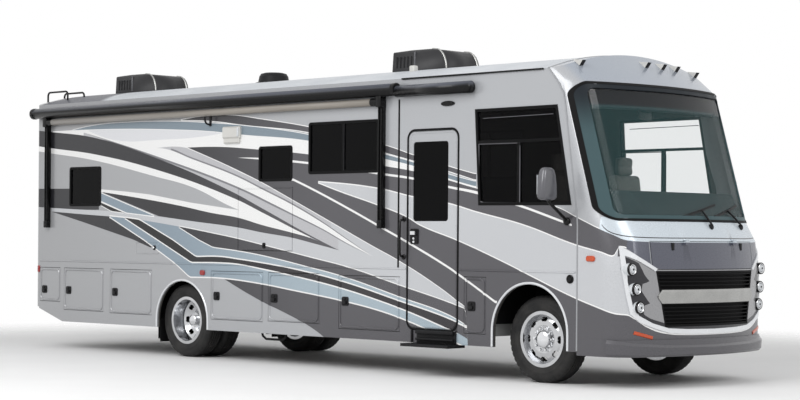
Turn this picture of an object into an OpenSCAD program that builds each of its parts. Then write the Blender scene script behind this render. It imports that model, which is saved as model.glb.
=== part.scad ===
// Full-size motorhome on a truck chassis, in millimetres.
// +X is forward, +Y is the left side, +Z is up; the origin is on the ground under the middle.

/* [Coach body] */
// Width over the side walls
body_w = 2550; // [2400:10:2600]
// Thickness of the side walls, skirts and doors
wall_t = 45; // [30:1:60]
// Underside of the side skirts
skirt_z = 360; // [300:5:420]
// Joint between skirts and walls
belt_z = 1174; // [1150:1:1200]
// Top of the side walls
rail_z = 3295; // [3240:5:3400]
// Rise of the roof over the top of the walls
roof_rise = 205; // [150:5:260]
// Thickness of the roof
roof_t = 60; // [40:2:80]
// Outer face of the rear wall
rear_x = -5137; // [-5150:1:-5100]
// Front end of the side walls below the windows
seam_x = 4426; // [4400:1:4450]

/* [Front cap] */
// Foremost point of the fascia
nose_x = 5220; // [5180:5:5225]
// Bow radius of the front seen from above
cap_bow_r = 3300; // [2800:50:4200]
// Corner radius of the front seen from above
cap_corner_r = 350; // [250:10:420]
// Wall thickness of the cap
cap_t = 50; // [35:1:60]
// Lower edge of the windshield opening
shield_z0 = 1735; // [1720:5:1780]
// Upper edge of the windshield opening
shield_z1 = 3115; // [3050:5:3120]
// Side of the windshield opening from the side of the body
shield_side = 90; // [75:5:175]

/* [Wheels] */
// Centre of the front axle
front_axle_x = 3810; // [3780:5:3830]
// Distance between the axles
wheelbase = 5790; // [5760:5:5810]
// Tyre outer radius, which is also the height of the axles
tyre_r = 460; // [445:1:470]
// Tyre width
tyre_w = 255; // [235:1:265]
// Middle of the front tyre from the centre plane
front_tyre_y = 985; // [970:1:995]
// Middle of the outer rear tyre from the centre plane
rear_tyre_y = 1065; // [1055:1:1070]
// Spacing of the twin tyres
twin_pitch = 290; // [280:1:300]
// Kingpin from the centre plane
kingpin_y = 860; // [850:1:865]

/* [Doors and fits] */
// Gap round a moving panel
panel_gap = 6; // [5:0.5:10]
// Radius of the hinge barrels
barrel_r = 5; // [4:0.5:6]
// Clearance between pieces that sit on each other
fit = 0.4; // [0.2:0.1:0.5]

/* [Hidden] */
$fn = 64;
wide_fn = 720;
half_w = body_w / 2;
inner_y = half_w - wall_t;
shield_half_w = half_w - shield_side;
crown_z = rail_z + roof_rise;
roof_r = (half_w * half_w + roof_rise * roof_rise) / (2 * roof_rise);
roof_centre_z = crown_z - roof_r;
rear_axle_x = front_axle_x - wheelbase;
axle_z = tyre_r;
floor_z = belt_z - 1;
floor_t = 63;
floor_under = floor_z - floor_t;
rear_seam_x = rear_x + 97;
rear_corner_r = 90;
rear_cap_z = 545;
frame_in = 395;
frame_w = 75;
frame_out = frame_in + frame_w;
steel_t = 10;
frame_web = frame_out - steel_t;
frame_z0 = 720;
frame_z1 = 950;
frame_x0 = -5000;
frame_x1 = 4980;
cross_tops = [-4850, -3200, -1300, 400, 2000, 3080, 4740];
cross_top_w = 80;
cross_lows = [-4600, -2900, 1200, 2800];
cross_low_w = 60;
cross_low_up = 60;
cross_low_down = 40;
box_t = 12;
glass_t = 8;
bumper_z0 = 325;
bumper_z1 = 500;
cap_z0 = bumper_z1 + fit;
bumper_out = 20;
front_x = nose_x + bumper_out;
hood_z0 = 1212;
hood_z1 = 1504;
hood_half_w = half_w - 385;
hood_t = 30;
grille_z0 = 628;
grille_z1 = 1200;
grille_low_y = half_w - 545;
grille_top_y = half_w - 425;
hood_hinge_y = hood_half_w - 470;
hood_hinge_len = 56;
hood_barrel_r = 8;
shield_r = 110;
shield_in = 14;
shield_top_nose = nose_x - 585;
corner_y = half_w - cap_corner_r;
corner_x = sqrt(pow(cap_bow_r - cap_corner_r, 2) - corner_y * corner_y) - cap_bow_r;
bow_half = atan2(corner_y, corner_x + cap_bow_r);
corner_steps = 16;
bow_steps = 26;

// height, foremost point
Z = 0;
NOSE = 1;
cap_sections = [
    [cap_z0, nose_x],
    [1208, nose_x],
    [1508, nose_x - 42],
    [1730, nose_x - 175],
    [3130, shield_top_nose],
    [crown_z + 20, shield_top_nose - 485]
];

// joint between the side walls and the cap, seen from the side
seam_line = [[seam_x, 0], [seam_x, 1720], [seam_x - 186, 3000], [seam_x - 407, 3304]];
roof_front_x = seam_x - 407;

// rear edge, front edge, lower edge, upper edge
X0 = 0;
X1 = 1;
Z0 = 2;
Z1 = 3;
door = [2004, 2746, 520, 2700];
door_r = 90;
door_pane = [2077, 2608, 1703, 2581];
pane_r = 36;
hatch = [-896, 95, 1348, 2109];
windows_right = [
    [-4355, -3653, 1909, 2433],
    [-519, 84, 2181, 2604],
    [363, 1529, 2254, 2860]
];
windows_left = [
    [-4355, -3653, 1909, 2433],
    [-2400, -1234, 2181, 2860],
    [363, 1529, 2254, 2860]
];
slider_x = 946;
rear_pane_half_w = 560;
rear_pane = [1950, 2450];
cab_pane = [[3055, 1872], [4345, 1867], [4149, 2912], [2996, 2908]];
cab_bar_z = 2550;
cab_bar_x = 3620;
frame_ring = 32;
bar_w = 30;

ARCH_X = 0;
ARCH_R = 1;
ARCH_TOP = 2;
front_arch = [front_axle_x - 27, 508, 1040];
rear_arch = [rear_axle_x + 20, 492, 955];

// Bay doors share the length behind the rear wheels and the length from there to the entry door:
// share at the rear edge, share at the front edge, lower edge, upper edge
tail_x = [rear_x + 117, rear_arch[ARCH_X] - rear_arch[ARCH_R] - 116];
mid_x = [rear_arch[ARCH_X] + rear_arch[ARCH_R] + 74, door[X0] - 123];
nose_bay_x1 = front_arch[ARCH_X] - front_arch[ARCH_R] - 104;
tail_bays = [[0, 0.1905, 622, 1085], [0.2255, 0.5832, 517, 1085], [0.6415, 1, 506, 1085]];
mid_bays = [[0, 0.2959, 494, 1095], [0.3243, 0.5985, 508, 1095], [0.6977, 1, 466, 1085]];
function along(x, share) = round(x[0] + (x[1] - x[0]) * share);
function shared(rows, x) = [for (r = rows) [along(x, r[X0]), along(x, r[X1]), r[Z0], r[Z1]]];
bays_right = concat(shared(tail_bays, tail_x), shared(mid_bays, mid_x),
    [[door[X1] + 107, nose_bay_x1, 488, 1105]]);
bays_left = concat(shared([[0.2255, 1, 517, 1085]], tail_x), shared([[0, 0.5985, 494, 1095]], mid_x),
    [[along(mid_x, 0.6977), nose_bay_x1 - 471, 466, 1085]]);
bay_depth = inner_y - frame_out - 90;
bay_side = 22;
locker_depth = 170;

// lamp distance from the centre plane, height, front face
LAMP_Y = 0;
LAMP_Z = 1;
LAMP_X = 2;
lamp_back = nose_x + corner_x;
lamps = [[half_w - 135, 1215, lamp_back + 304], [half_w - 185, 1015, lamp_back + 327],
    [half_w - 223, 828, lamp_back + 339]];
lamp_r = 64;
lamp_len = 90;
tail_lamp_in = 225;
tail_lamp_half = 80;
tail_lamp_z = [900, 1260];
tail_lamp_t = 14;

ac_x = [-4650, 765];
ac_long = 860;
ac_wide = 600;
ac_tall = 240;
ac_sink = 40;
ac_lean = 20;
ac_slope = 170;
ac_edge_r = 40;
vent_x = -1690;
vent_r = 205;
vent_tall = 142;

awning_x0 = -5090;
awning_x1 = 1870;
door_awning_x1 = 2995;
awning_r = 70;
door_awning_r = 66;
awning_z = 3172;
door_awning_z = 3148;
roller_r = 42;
roller_z = 3045;
arm_z0 = 1660;
arm_deep = 60;
arms = [[-4854, -4788], [1571, 1637]];

ladder_x = -5240;
ladder_tube_r = 13;
ladder_rails = [-half_w + 255, -half_w + 530];
ladder_z0 = 780;
ladder_top = crown_z - 10;
ladder_bend = 50;
ladder_foot_x = rear_x + 367;
ladder_stays = [820, 2000, 3000];
rungs = [900 : 300 : 3000];

mirror_x = seam_x - 140;
mirror_y = half_w + 325;
mirror_w = 240;
mirror_z = 1912;
mirror_h = 335;
mirror_base_z = 1700;

dash_x = 4520;
dash_top = 1690;
dash_under = 1420;
dash_half_w = half_w - cap_t - 85;
dash_foot = [4640, 4870];
cab_floor_x = 4880;
seat_x = 3900;
seat_y = inner_y - 670;
seat_base = [[-180, -170, 0], [200, 170, 260]];
seat_cushion = [[-260, -260, 250], [270, 260, 420]];
seat_back = [[0, -250, 0], [150, 250, 760]];
seat_back_at = [-260, 0, 330];
head_rest = [[-365, -130, 1050], [-255, 130, 1270]];
steering_y = seat_y - 10;
steering_back = 100;
steering_r = 215;
steering_grip_r = 15;
column_len = 240;
column_r = 28;

engine_x = [3900, 4700];
engine_half_w = 300;
engine_z0 = 570;
engine_mount = [[4240, 760], [4340, 820]];
gearbox = [[3200, -180, 560], [3910, 180, 880]];
tank_x = [-4500, rear_axle_x - 1280];
tank_z0 = 470;
hitch_x = -5130;
hitch_back = -4880;
hitch_z = 505;
hitch_half = 45;
hanger_y = 430;
receiver_in = 25.5;
receiver_out = 38;
pin_r = 8;
pin_in = 40;
stepwell_y = 720;
step_top = skirt_z - 4;
step_t = 32;
step_out = 175;

well_half = 560;
rear_well_half = 530;
well_foot = 600;
spring_z = 560;
springs = [[front_axle_x, 690], [rear_axle_x, 780]];
shaft_x = rear_axle_x + 150;
shaft_run = gearbox[0][0] - 5 - shaft_x;
shaft_rise = 190;
rim_r = 298;
bead_r = 285;
rim_half = 115;
spindle_r = 40;
rear_spindle_r = 45;
kingpin_r = 22;

// Flat outline with rounded corners
module rounded(x0, x1, z0, z1, r) {
    translate([x0 + r, z0]) square([x1 - x0 - 2 * r, z1 - z0]);
    translate([x0, z0 + r]) square([x1 - x0, z1 - z0 - 2 * r]);
    for (x = [x0 + r, x1 - r], z = [z0 + r, z1 - r]) translate([x, z]) circle(r);
}

// Box from one corner to the other
module block(a, b) {
    translate(a) cube([b[0] - a[0], b[1] - a[1], b[2] - a[2]]);
}

// Outline in X and Z made into a plate, from its outer face at the right inward
module right_plate(face, t) {
    translate([0, -face + t, 0]) rotate([90, 0, 0]) linear_extrude(t) children();
}

module on_left() {
    mirror([0, 1, 0]) children();
}

// Outline in Y and Z pushed along X
module along_x(x0, x1) {
    translate([x0, 0, 0]) rotate([90, 0, 90]) linear_extrude(x1 - x0) children();
}

// Outline in Y and Z under the roof, drawn in by a wall thickness
module roof_outline(inset, top) {
    edge = half_w - inset;
    edge_z = roof_centre_z + sqrt(pow(roof_r - top, 2) - edge * edge);
    translate([-edge, 0]) square([2 * edge, edge_z]);
    intersection() {
        translate([0, roof_centre_z]) circle(roof_r - top, $fn = wide_fn);
        translate([-edge, edge_z - 1]) square([2 * edge, 600]);
    }
}

// Points of an arc, kept to a hundredth so that the cap's facets stay flat
function tidy(v) = round(v * 100) / 100;
function arc(x, y, r, from, to, steps) =
    [for (i = [0 : steps])
        let (a = from + (to - from) * i / steps)
        [tidy(x + r * cos(a)), tidy(y + r * sin(a))]];

// Outline of the front seen from above, with the nose at zero
function cap_ring(inset) =
    let (side = half_w - inset, r = cap_corner_r - inset, back = -1500)
    concat([[back, -side]],
        arc(corner_x, -corner_y, r, -90, -bow_half, corner_steps),
        [for (p = arc(-cap_bow_r, 0, cap_bow_r - inset, -bow_half, bow_half, bow_steps))
            if (abs(p[1]) < corner_y + r * sin(bow_half) - 1) p],
        arc(corner_x, corner_y, r, bow_half, 90, corner_steps),
        [[back, side]]);

module cap_outline(inset) {
    polygon(cap_ring(inset));
}

// Part of the cap from one section to another, each the same outline moved back
module cap_between(first, last, inset) {
    ring = cap_ring(inset);
    n = len(ring);
    top = (last - first) * n;
    points = [for (i = [first : last], p = ring)
        [tidy(p[0] + cap_sections[i][NOSE]), p[1], cap_sections[i][Z]]];
    sides = [for (k = [0 : last - first - 1], i = [0 : n - 1])
        let (a = k * n + i, b = k * n + (i + 1) % n) [a, a + n, b + n, b]];
    polyhedron(points, concat([[for (i = [0 : n - 1]) i]], sides,
        [[for (i = [n - 1 : -1 : 0]) top + i]]));
}

module cap_section(i, inset) {
    cap_between(i, i + 1, inset);
}

module cap_solid(inset) {
    cap_between(0, len(cap_sections) - 1, inset);
}

module ahead_of_seam(gap) {
    line = [for (p = seam_line) [p[0] + gap, p[1]]];
    right_plate(half_w + 100, body_w + 200)
        polygon(concat(line, [[roof_front_x + gap, 4000], [6000, 4000], [6000, 0]]));
}

module grille_outline(inset) {
    slope = (grille_top_y - grille_low_y) / (grille_z1 - grille_z0);
    z0 = grille_z0 + inset;
    z1 = grille_z1 - inset;
    y0 = grille_low_y + slope * inset - inset;
    y1 = grille_top_y - slope * inset - inset;
    polygon([[-y0, z0], [y0, z0], [y1, z1], [-y1, z1]]);
}

module shield_outline(inset) {
    rounded(-shield_half_w + inset, shield_half_w - inset, shield_z0 + inset, shield_z1 - inset,
        shield_r - inset);
}

module front_cap() {
    color([0.72, 0.73, 0.76]) union() {
        difference() {
            intersection() {
                cap_solid(0);
                along_x(3000, 6000) roof_outline(0, 0);
                ahead_of_seam(0);
            }
            intersection() {
                union() {
                    cap_solid(cap_t);
                    translate([nose_x, 0, cap_z0 - 20]) linear_extrude(40) cap_outline(cap_t);
                }
                along_x(3000, 6000) roof_outline(cap_t, roof_t);
            }
            along_x(4000, 6000) shield_outline(0);
            block([4900, -hood_half_w, hood_z0], [6000, hood_half_w, hood_z1]);
            along_x(4900, 6000) grille_outline(0);
            for (s = [-1, 1], lamp = lamps)
                translate([4800, s * lamp[LAMP_Y], lamp[LAMP_Z]])
                    rotate([0, 90, 0]) cylinder(r = lamp_r, h = 600);
        }
        for (s = [-1, 1])
            block([nose_x - 110, s * hood_hinge_y - hood_hinge_len / 2,
                    hood_z1 + hood_barrel_r + fit],
                [nose_x - 26, s * hood_hinge_y + hood_hinge_len / 2,
                    hood_z1 + hood_barrel_r + fit + 14]);
    }
}

module front_bumper() {
    color([0.66, 0.67, 0.7]) difference() {
        translate([front_x, 0, bumper_z0]) linear_extrude(bumper_z1 - bumper_z0) cap_outline(0);
        translate([front_x, 0, bumper_z0 - 1]) linear_extrude(bumper_z1 - bumper_z0 + 2)
            cap_outline(cap_t);
        block([0, -half_w - 1, 0], [seam_x, half_w + 1, 1000]);
    }
}

module windshield() {
    color([0.2, 0.42, 0.42, 0.5]) intersection() {
        difference() {
            cap_section(3, shield_in);
            cap_section(3, shield_in + glass_t);
        }
        along_x(4000, 6000) shield_outline(fit);
    }
}

module hood() {
    hinge_x = nose_x - 34;
    color([0.22, 0.23, 0.26]) union() {
        intersection() {
            difference() {
                cap_section(1, 0);
                cap_section(1, hood_t);
            }
            block([4900, -hood_half_w + panel_gap, hood_z0 + panel_gap],
                [6000, hood_half_w - panel_gap, hood_z1 - panel_gap]);
        }
        for (s = [-1, 1]) translate([hinge_x, s * hood_hinge_y, hood_z1]) {
            rotate([90, 0, 0]) cylinder(r = hood_barrel_r, h = hood_hinge_len, center = true);
            block([-50, -hood_hinge_len / 2, -40], [0, hood_hinge_len / 2, -4]);
        }
    }
}

module grille() {
    pitch = 38;
    slat = 10;
    bar = [857, 1009];
    rim = 24;
    color([0.08, 0.08, 0.09]) union() {
        intersection() {
            difference() {
                cap_section(0, 4);
                cap_section(0, cap_t - 6);
            }
            along_x(4900, 6000) difference() {
                grille_outline(fit);
                difference() {
                    grille_outline(rim);
                    translate([-1000, bar[0]]) square([2000, bar[1] - bar[0]]);
                    for (z = [grille_z0 + pitch : pitch : grille_z1 - slat])
                        translate([-1000, z]) square([2000, slat]);
                }
            }
        }
        intersection() {
            difference() {
                cap_section(0, cap_t - 8);
                cap_section(0, cap_t);
            }
            along_x(4900, 6000) grille_outline(fit);
        }
    }
}

module headlamps() {
    color([0.9, 0.92, 0.95]) for (s = [-1, 1], lamp = lamps)
        translate([lamp[LAMP_X] - lamp_len, s * lamp[LAMP_Y], lamp[LAMP_Z]]) rotate([0, 90, 0])
            cylinder(r = lamp_r - fit, h = lamp_len);
}

module tail_lamps() {
    color([0.7, 0.05, 0.04]) for (s = [-1, 1]) translate([rear_x - fit, s * (half_w - tail_lamp_in), 0])
        block([-tail_lamp_t, -tail_lamp_half, tail_lamp_z[0]], [0, tail_lamp_half, tail_lamp_z[1]]);
}

// The walls are one outline with the door, the hatch and the windows cut out
module wall_outline() {
    intersection() {
        polygon(concat([[rear_seam_x + fit, belt_z + fit], [seam_x - fit, belt_z + fit]],
            [for (i = [1 : len(seam_line) - 1]) [seam_line[i][0] - fit, seam_line[i][1]]],
            [[rear_seam_x + fit, 3304]]));
        translate([rear_x, 0]) square([12000, rail_z]);
    }
}

module window_holes(list) {
    for (w = list) rounded(w[X0], w[X1], w[Z0], w[Z1], pane_r);
    polygon(cab_pane);
}

module door_outline(gap) {
    rounded(door[X0] + gap, door[X1] - gap, door[Z0] + gap, door[Z1] - gap, door_r - gap);
}

module wall_right() {
    color([0.72, 0.73, 0.76]) right_plate(half_w, wall_t) difference() {
        wall_outline();
        window_holes(windows_right);
        door_outline(0);
        translate([hatch[X0], hatch[Z0]]) square([hatch[X1] - hatch[X0], hatch[Z1] - hatch[Z0]]);
    }
}

module wall_left() {
    color([0.72, 0.73, 0.76]) on_left() right_plate(half_w, wall_t) difference() {
        wall_outline();
        window_holes(windows_left);
    }
}

module rear_outline() {
    intersection() {
        rounded(rear_x, rear_seam_x + 2 * rear_corner_r, -half_w, half_w, rear_corner_r);
        translate([rear_x, -half_w]) square([rear_seam_x - rear_x, body_w]);
    }
}

module rear_cap() {
    color([0.72, 0.73, 0.76]) difference() {
        intersection() {
            translate([0, 0, rear_cap_z]) linear_extrude(4000) rear_outline();
            along_x(rear_x - 10, rear_seam_x + 10) roof_outline(0, 0);
        }
        along_x(rear_x + wall_t, rear_seam_x + 10) roof_outline(wall_t, roof_t);
        along_x(rear_x - 10, rear_x + wall_t + 10)
            rounded(-rear_pane_half_w, rear_pane_half_w, rear_pane[0], rear_pane[1], pane_r);
    }
}

module roof() {
    color([0.86, 0.86, 0.85]) along_x(rear_seam_x + fit, roof_front_x - fit) difference() {
        intersection() {
            translate([0, roof_centre_z]) circle(roof_r, $fn = wide_fn);
            translate([-half_w, rail_z + fit]) square([body_w, 600]);
        }
        translate([0, roof_centre_z]) circle(roof_r - roof_t, $fn = wide_fn);
    }
}

// Ring and bars of one window
module ring(w) {
    difference() {
        rounded(w[X0] + fit, w[X1] - fit, w[Z0] + fit, w[Z1] - fit, pane_r - fit);
        rounded(w[X0] + frame_ring, w[X1] - frame_ring, w[Z0] + frame_ring, w[Z1] - frame_ring,
            pane_r - frame_ring);
    }
}

// Corner of an outline drawn in by a distance, for outlines that turn to the left
function unit(v) = v / norm(v);
function side_in(p, q) = [-unit(q - p)[1], unit(q - p)[0]];
function corner_in(a, b, c, d) =
    let (n = side_in(a, b), m = side_in(b, c))
    b + (n + m) * d / (1 + n * m);
function inset_outline(pts, d) =
    let (n = len(pts))
    [for (i = [0 : n - 1]) corner_in(pts[(i + n - 1) % n], pts[i], pts[(i + 1) % n], d)];

module cab_ring() {
    intersection() {
        polygon(inset_outline(cab_pane, fit));
        union() {
            difference() {
                polygon(cab_pane);
                polygon(inset_outline(cab_pane, frame_ring));
            }
            translate([2900, cab_bar_z - bar_w / 2]) square([1600, bar_w]);
            translate([cab_bar_x - bar_w / 2, 1800]) square([bar_w, cab_bar_z - 1800]);
        }
    }
}

module frames_of(list) {
    right_plate(half_w + 5, wall_t + 5) union() {
        for (w = list) ring(w);
        translate([slider_x - bar_w / 2, list[2][Z0] + 8])
            square([bar_w, list[2][Z1] - list[2][Z0] - 16]);
    }
    right_plate(half_w + 5, wall_t + 5) cab_ring();
}

module window_frames() {
    color([0.05, 0.05, 0.06]) union() {
        frames_of(windows_right);
        on_left() frames_of(windows_left);
        along_x(rear_x - 5, rear_x + wall_t)
            ring([-rear_pane_half_w, rear_pane_half_w, rear_pane[0], rear_pane[1]]);
    }
}

module pane(x0, x1, z0, z1) {
    g = frame_ring + fit;
    rounded(x0 + g, x1 - g, z0 + g, z1 - g, pane_r - g);
}

module panes_of(list) {
    for (i = [0 : len(list) - 2])
        right_plate(half_w - 12, glass_t) pane(list[i][X0], list[i][X1], list[i][Z0], list[i][Z1]);
    right_plate(half_w - 12, glass_t) difference() {
        pane(list[2][X0], list[2][X1], list[2][Z0], list[2][Z1]);
        translate([slider_x - bar_w / 2 - fit, 2000]) square([bar_w + 2 * fit, 1200]);
    }
    right_plate(half_w - 12, glass_t) difference() {
        polygon(inset_outline(cab_pane, frame_ring + fit));
        translate([2900, cab_bar_z - bar_w / 2 - fit]) square([1600, bar_w + 2 * fit]);
        translate([cab_bar_x - bar_w / 2 - fit, 1800])
            square([bar_w + 2 * fit, cab_bar_z - 1800]);
    }
}

module side_windows() {
    color([0.1, 0.12, 0.13, 0.7]) union() {
        panes_of(windows_right);
        on_left() panes_of(windows_left);
        along_x(rear_x + 12, rear_x + 12 + glass_t)
            pane(-rear_pane_half_w, rear_pane_half_w, rear_pane[0], rear_pane[1]);
    }
}

module arch_hole(arch) {
    translate([arch[ARCH_X], arch[ARCH_TOP] - arch[ARCH_R]]) circle(arch[ARCH_R]);
    translate([arch[ARCH_X] - arch[ARCH_R], 0])
        square([2 * arch[ARCH_R], arch[ARCH_TOP] - arch[ARCH_R]]);
}

module skirt_outline() {
    difference() {
        polygon([[rear_seam_x + fit, rear_cap_z - 20], [rear_seam_x + 540, skirt_z],
            [seam_x - fit, skirt_z], [seam_x - fit, belt_z], [rear_seam_x + fit, belt_z]]);
        arch_hole(front_arch);
        arch_hole(rear_arch);
    }
}

module bay_holes(list) {
    for (b = list) translate([b[X0], b[Z0]]) square([b[X1] - b[X0], b[Z1] - b[Z0]]);
}

module skirt_right() {
    color([0.3, 0.31, 0.34]) right_plate(half_w, wall_t) difference() {
        skirt_outline();
        bay_holes(bays_right);
        door_outline(0);
    }
}

module skirt_left() {
    color([0.3, 0.31, 0.34]) on_left() right_plate(half_w, wall_t) difference() {
        skirt_outline();
        bay_holes(bays_left);
    }
}

// Panel that turns on its front edge
module bay_door(b) {
    hinge_x = b[X1] - barrel_r - fit;
    tall = b[Z1] - b[Z0] - 2 * panel_gap;
    color([0.32, 0.33, 0.36]) union() {
        right_plate(half_w, wall_t - 6) translate([b[X0] + panel_gap, b[Z0] + panel_gap])
            square([hinge_x - 1 - b[X0] - panel_gap, tall]);
        translate([hinge_x, -half_w, b[Z0] + panel_gap]) cylinder(r = barrel_r, h = tall);
    }
}

module tv_hatch() {
    hinge_z = hatch[Z1] - barrel_r - fit;
    wide = hatch[X1] - hatch[X0] - 2 * panel_gap;
    color([0.68, 0.69, 0.72]) union() {
        right_plate(half_w, wall_t - 6) translate([hatch[X0] + panel_gap, hatch[Z0] + panel_gap])
            square([wide, hinge_z - 1 - hatch[Z0] - panel_gap]);
        translate([hatch[X0] + panel_gap, -half_w, hinge_z]) rotate([0, 90, 0])
            cylinder(r = barrel_r, h = wide);
    }
}

module entry_door() {
    hinge_x = door[X1] - barrel_r - fit;
    color([0.4, 0.41, 0.44]) union() {
        right_plate(half_w, wall_t) difference() {
            intersection() {
                door_outline(panel_gap);
                translate([door[X0], 0]) square([hinge_x - 1 - door[X0], 4000]);
            }
            rounded(door_pane[X0], door_pane[X1], door_pane[Z0], door_pane[Z1], pane_r);
        }
        translate([hinge_x, -half_w, door[Z0] + door_r])
            cylinder(r = barrel_r, h = door[Z1] - door[Z0] - 2 * door_r);
    }
}

module entry_door_glass() {
    color([0.1, 0.12, 0.13, 0.7]) right_plate(half_w - 10, glass_t)
        rounded(door_pane[X0] + fit, door_pane[X1] - fit, door_pane[Z0] + fit, door_pane[Z1] - fit,
            pane_r - fit);
}

// Open box behind a door in the skirt or wall
module bay_box(b, top, deep) {
    face = inner_y - fit;
    out = bay_side;
    room = bay_side - box_t;
    difference() {
        block([b[X0] - out, -face, b[Z0] - out], [b[X1] + out, -face + deep, top]);
        block([b[X0] - room, -face - 1, b[Z0] - room],
            [b[X1] + room, -face + deep - box_t, top - box_t]);
    }
}

module storage_bays() {
    color([0.5, 0.5, 0.5]) union() {
        for (b = bays_right) bay_box(b, floor_under - fit, bay_depth);
        on_left() for (b = bays_left) bay_box(b, floor_under - fit, bay_depth);
        bay_box(hatch, hatch[Z1] + bay_side, locker_depth);
    }
}

module floor() {
    edge = inner_y - fit;
    cab_edge = half_w - cap_t - 75;
    color([0.35, 0.3, 0.25]) difference() {
        union() {
            block([rear_x + wall_t + fit, -edge, floor_under], [seam_x - fit, edge, floor_z]);
            block([seam_x - 20, -cab_edge, floor_under], [cab_floor_x, cab_edge, floor_z]);
        }
        block([door[X0] - 14, -half_w, 0], [door[X1] + 14, -stepwell_y, 2000]);
    }
}

module entry_steps() {
    face = inner_y - fit;
    back = stepwell_y + fit;
    tread = (face - back) / 2;
    low = door[Z0] + 20;
    rise = (floor_z - low) / 2;
    t = 16;
    color([0.1, 0.1, 0.11]) union() {
        along_x(door[X0] - 13, door[X1] + 13)
            polygon([[-face, low], [-face + tread, low], [-face + tread, low + rise],
                [-back, low + rise], [-back, floor_under - fit], [-back - t, floor_under - fit],
                [-back - t, low + rise + t], [-face + tread - t, low + rise + t],
                [-face + tread - t, low + t], [-face, low + t]]);
        for (x = [door[X0] - 13, door[X1] + 13 - box_t])
            block([x, -face, low], [x + box_t, -back, floor_z]);
        block([door[X0] + 60, -half_w - step_out, step_top - step_t],
            [door[X1] + 30, -face + 60, step_top]);
        for (x = [door[X0] + 90, door[X1] - 40])
            block([x, -face, step_top - step_t / 2], [x + 40, -face + 50, low + 10]);
    }
}

module well(x, top, inner, half) {
    t = 8;
    face = inner_y - fit;
    difference() {
        block([x - half, -face, well_foot], [x + half, -inner, top]);
        block([x - half + t, -face - 1, well_foot - 1], [x + half - t, -inner - t, top - t]);
    }
}

module wheel_wells() {
    rear_inner = rear_tyre_y - twin_pitch - tyre_w / 2 - 45;
    flap_x = rear_axle_x - rear_well_half;
    color([0.06, 0.06, 0.06]) for (s = [0, 1]) mirror([0, s, 0]) {
        well(front_axle_x, floor_under - fit, frame_out + 75, well_half);
        well(rear_axle_x, floor_under - fit, rear_inner, rear_well_half);
        block([flap_x, -inner_y + 20, 210], [flap_x + 8, -rear_inner - 20, well_foot + 20]);
    }
}

module chassis_frame() {
    color([0.07, 0.07, 0.08]) union() {
        for (s = [0, 1]) mirror([0, s, 0]) difference() {
            block([frame_x0, frame_in, frame_z0], [frame_x1, frame_out, frame_z1]);
            block([frame_x0 - 1, frame_in - 1, frame_z0 + steel_t],
                [frame_x1 + 1, frame_web, frame_z1 - steel_t]);
        }
        for (x = cross_tops)
            block([x, -frame_out, frame_z1 - 1], [x + cross_top_w, frame_out, floor_under - fit]);
        for (x = cross_lows)
            block([x, -frame_web - 1, frame_z0 + cross_low_up],
                [x + cross_low_w, frame_web + 1, frame_z1 - cross_low_down]);
    }
}

// Square receiver for a ball mount, with its cross pin hole
module hitch_receiver() {
    color([0.07, 0.07, 0.08]) difference() {
        union() {
            for (s = [-1, 1])
                block([hitch_back - 110, s * hanger_y - 8, hitch_z - hitch_half],
                    [hitch_back + 20, s * hanger_y + 8, frame_z0 - fit]);
            block([hitch_back - 90, -hanger_y - 6, hitch_z - hitch_half],
                [hitch_back, hanger_y + 6, hitch_z + hitch_half]);
            block([hitch_x, -receiver_out, hitch_z - receiver_out],
                [hitch_back, receiver_out, hitch_z + receiver_out]);
        }
        block([hitch_x - 1, -receiver_in, hitch_z - receiver_in],
            [hitch_back - 1, receiver_in, hitch_z + receiver_in]);
        translate([hitch_x + pin_in, 0, hitch_z]) rotate([90, 0, 0])
            cylinder(r = pin_r, h = 4 * receiver_out, center = true);
    }
}

module above_roof(x0, x1) {
    difference() {
        children();
        translate([x0, 0, roof_centre_z]) rotate([0, 90, 0])
            cylinder(r = roof_r + fit, h = x1 - x0, $fn = wide_fn);
    }
}

// Boxy roof units with an upright rear face and a rounded slope at the front
module air_conditioners() {
    slope_x = ac_long - ac_slope;
    slope = [for (a = [0 : 15 : 75]) [slope_x + ac_slope * cos(a), (ac_tall - 8) * sin(a)]];
    profile = concat([[0, -ac_sink], [ac_long, -ac_sink]], slope,
        [[slope_x - 60, ac_tall - 3], [ac_lean + 300, ac_tall], [ac_lean, ac_tall - 14]]);
    color([0.07, 0.07, 0.08]) for (x = ac_x) above_roof(x - 10, x + ac_long + 10) intersection() {
        translate([x, ac_wide / 2, crown_z]) rotate([90, 0, 0]) linear_extrude(ac_wide) polygon(profile);
        along_x(x - 1, x + ac_long + 1) translate([0, crown_z])
            rounded(-ac_wide / 2, ac_wide / 2, -ac_sink - 100, ac_tall + 2, ac_edge_r);
    }
}

module roof_vent() {
    color([0.07, 0.07, 0.08]) above_roof(vent_x - vent_r - 50, vent_x + vent_r + 50)
        translate([vent_x, 0, crown_z]) rotate_extrude($fn = 160)
            polygon([[0, -ac_sink], [vent_r, -ac_sink], [vent_r, 0], [vent_r - 17, vent_tall - 52],
                [vent_r - 40, vent_tall - 17], [vent_r - 85, vent_tall - 4], [0, vent_tall]]);
}

module awning() {
    y = -half_w - awning_r - fit;
    color([0.06, 0.06, 0.07]) union() {
        translate([awning_x0, y, awning_z]) rotate([0, 90, 0])
            cylinder(r = awning_r, h = awning_x1 - awning_x0);
        translate([awning_x1 + 12, -half_w - door_awning_r - fit, door_awning_z]) rotate([0, 90, 0])
            cylinder(r = door_awning_r, h = door_awning_x1 - awning_x1 - 12);
        for (a = arms)
            block([a[0], -half_w - fit - arm_deep, arm_z0], [a[1], -half_w - fit, awning_z]);
    }
}

module awning_roller() {
    y = -half_w - fit - roller_r - 8;
    color([0.75, 0.74, 0.7]) translate([arms[0][1] + fit, y, roller_z]) rotate([0, 90, 0])
        cylinder(r = roller_r, h = arms[1][0] - arms[0][1] - 2 * fit);
}

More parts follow.
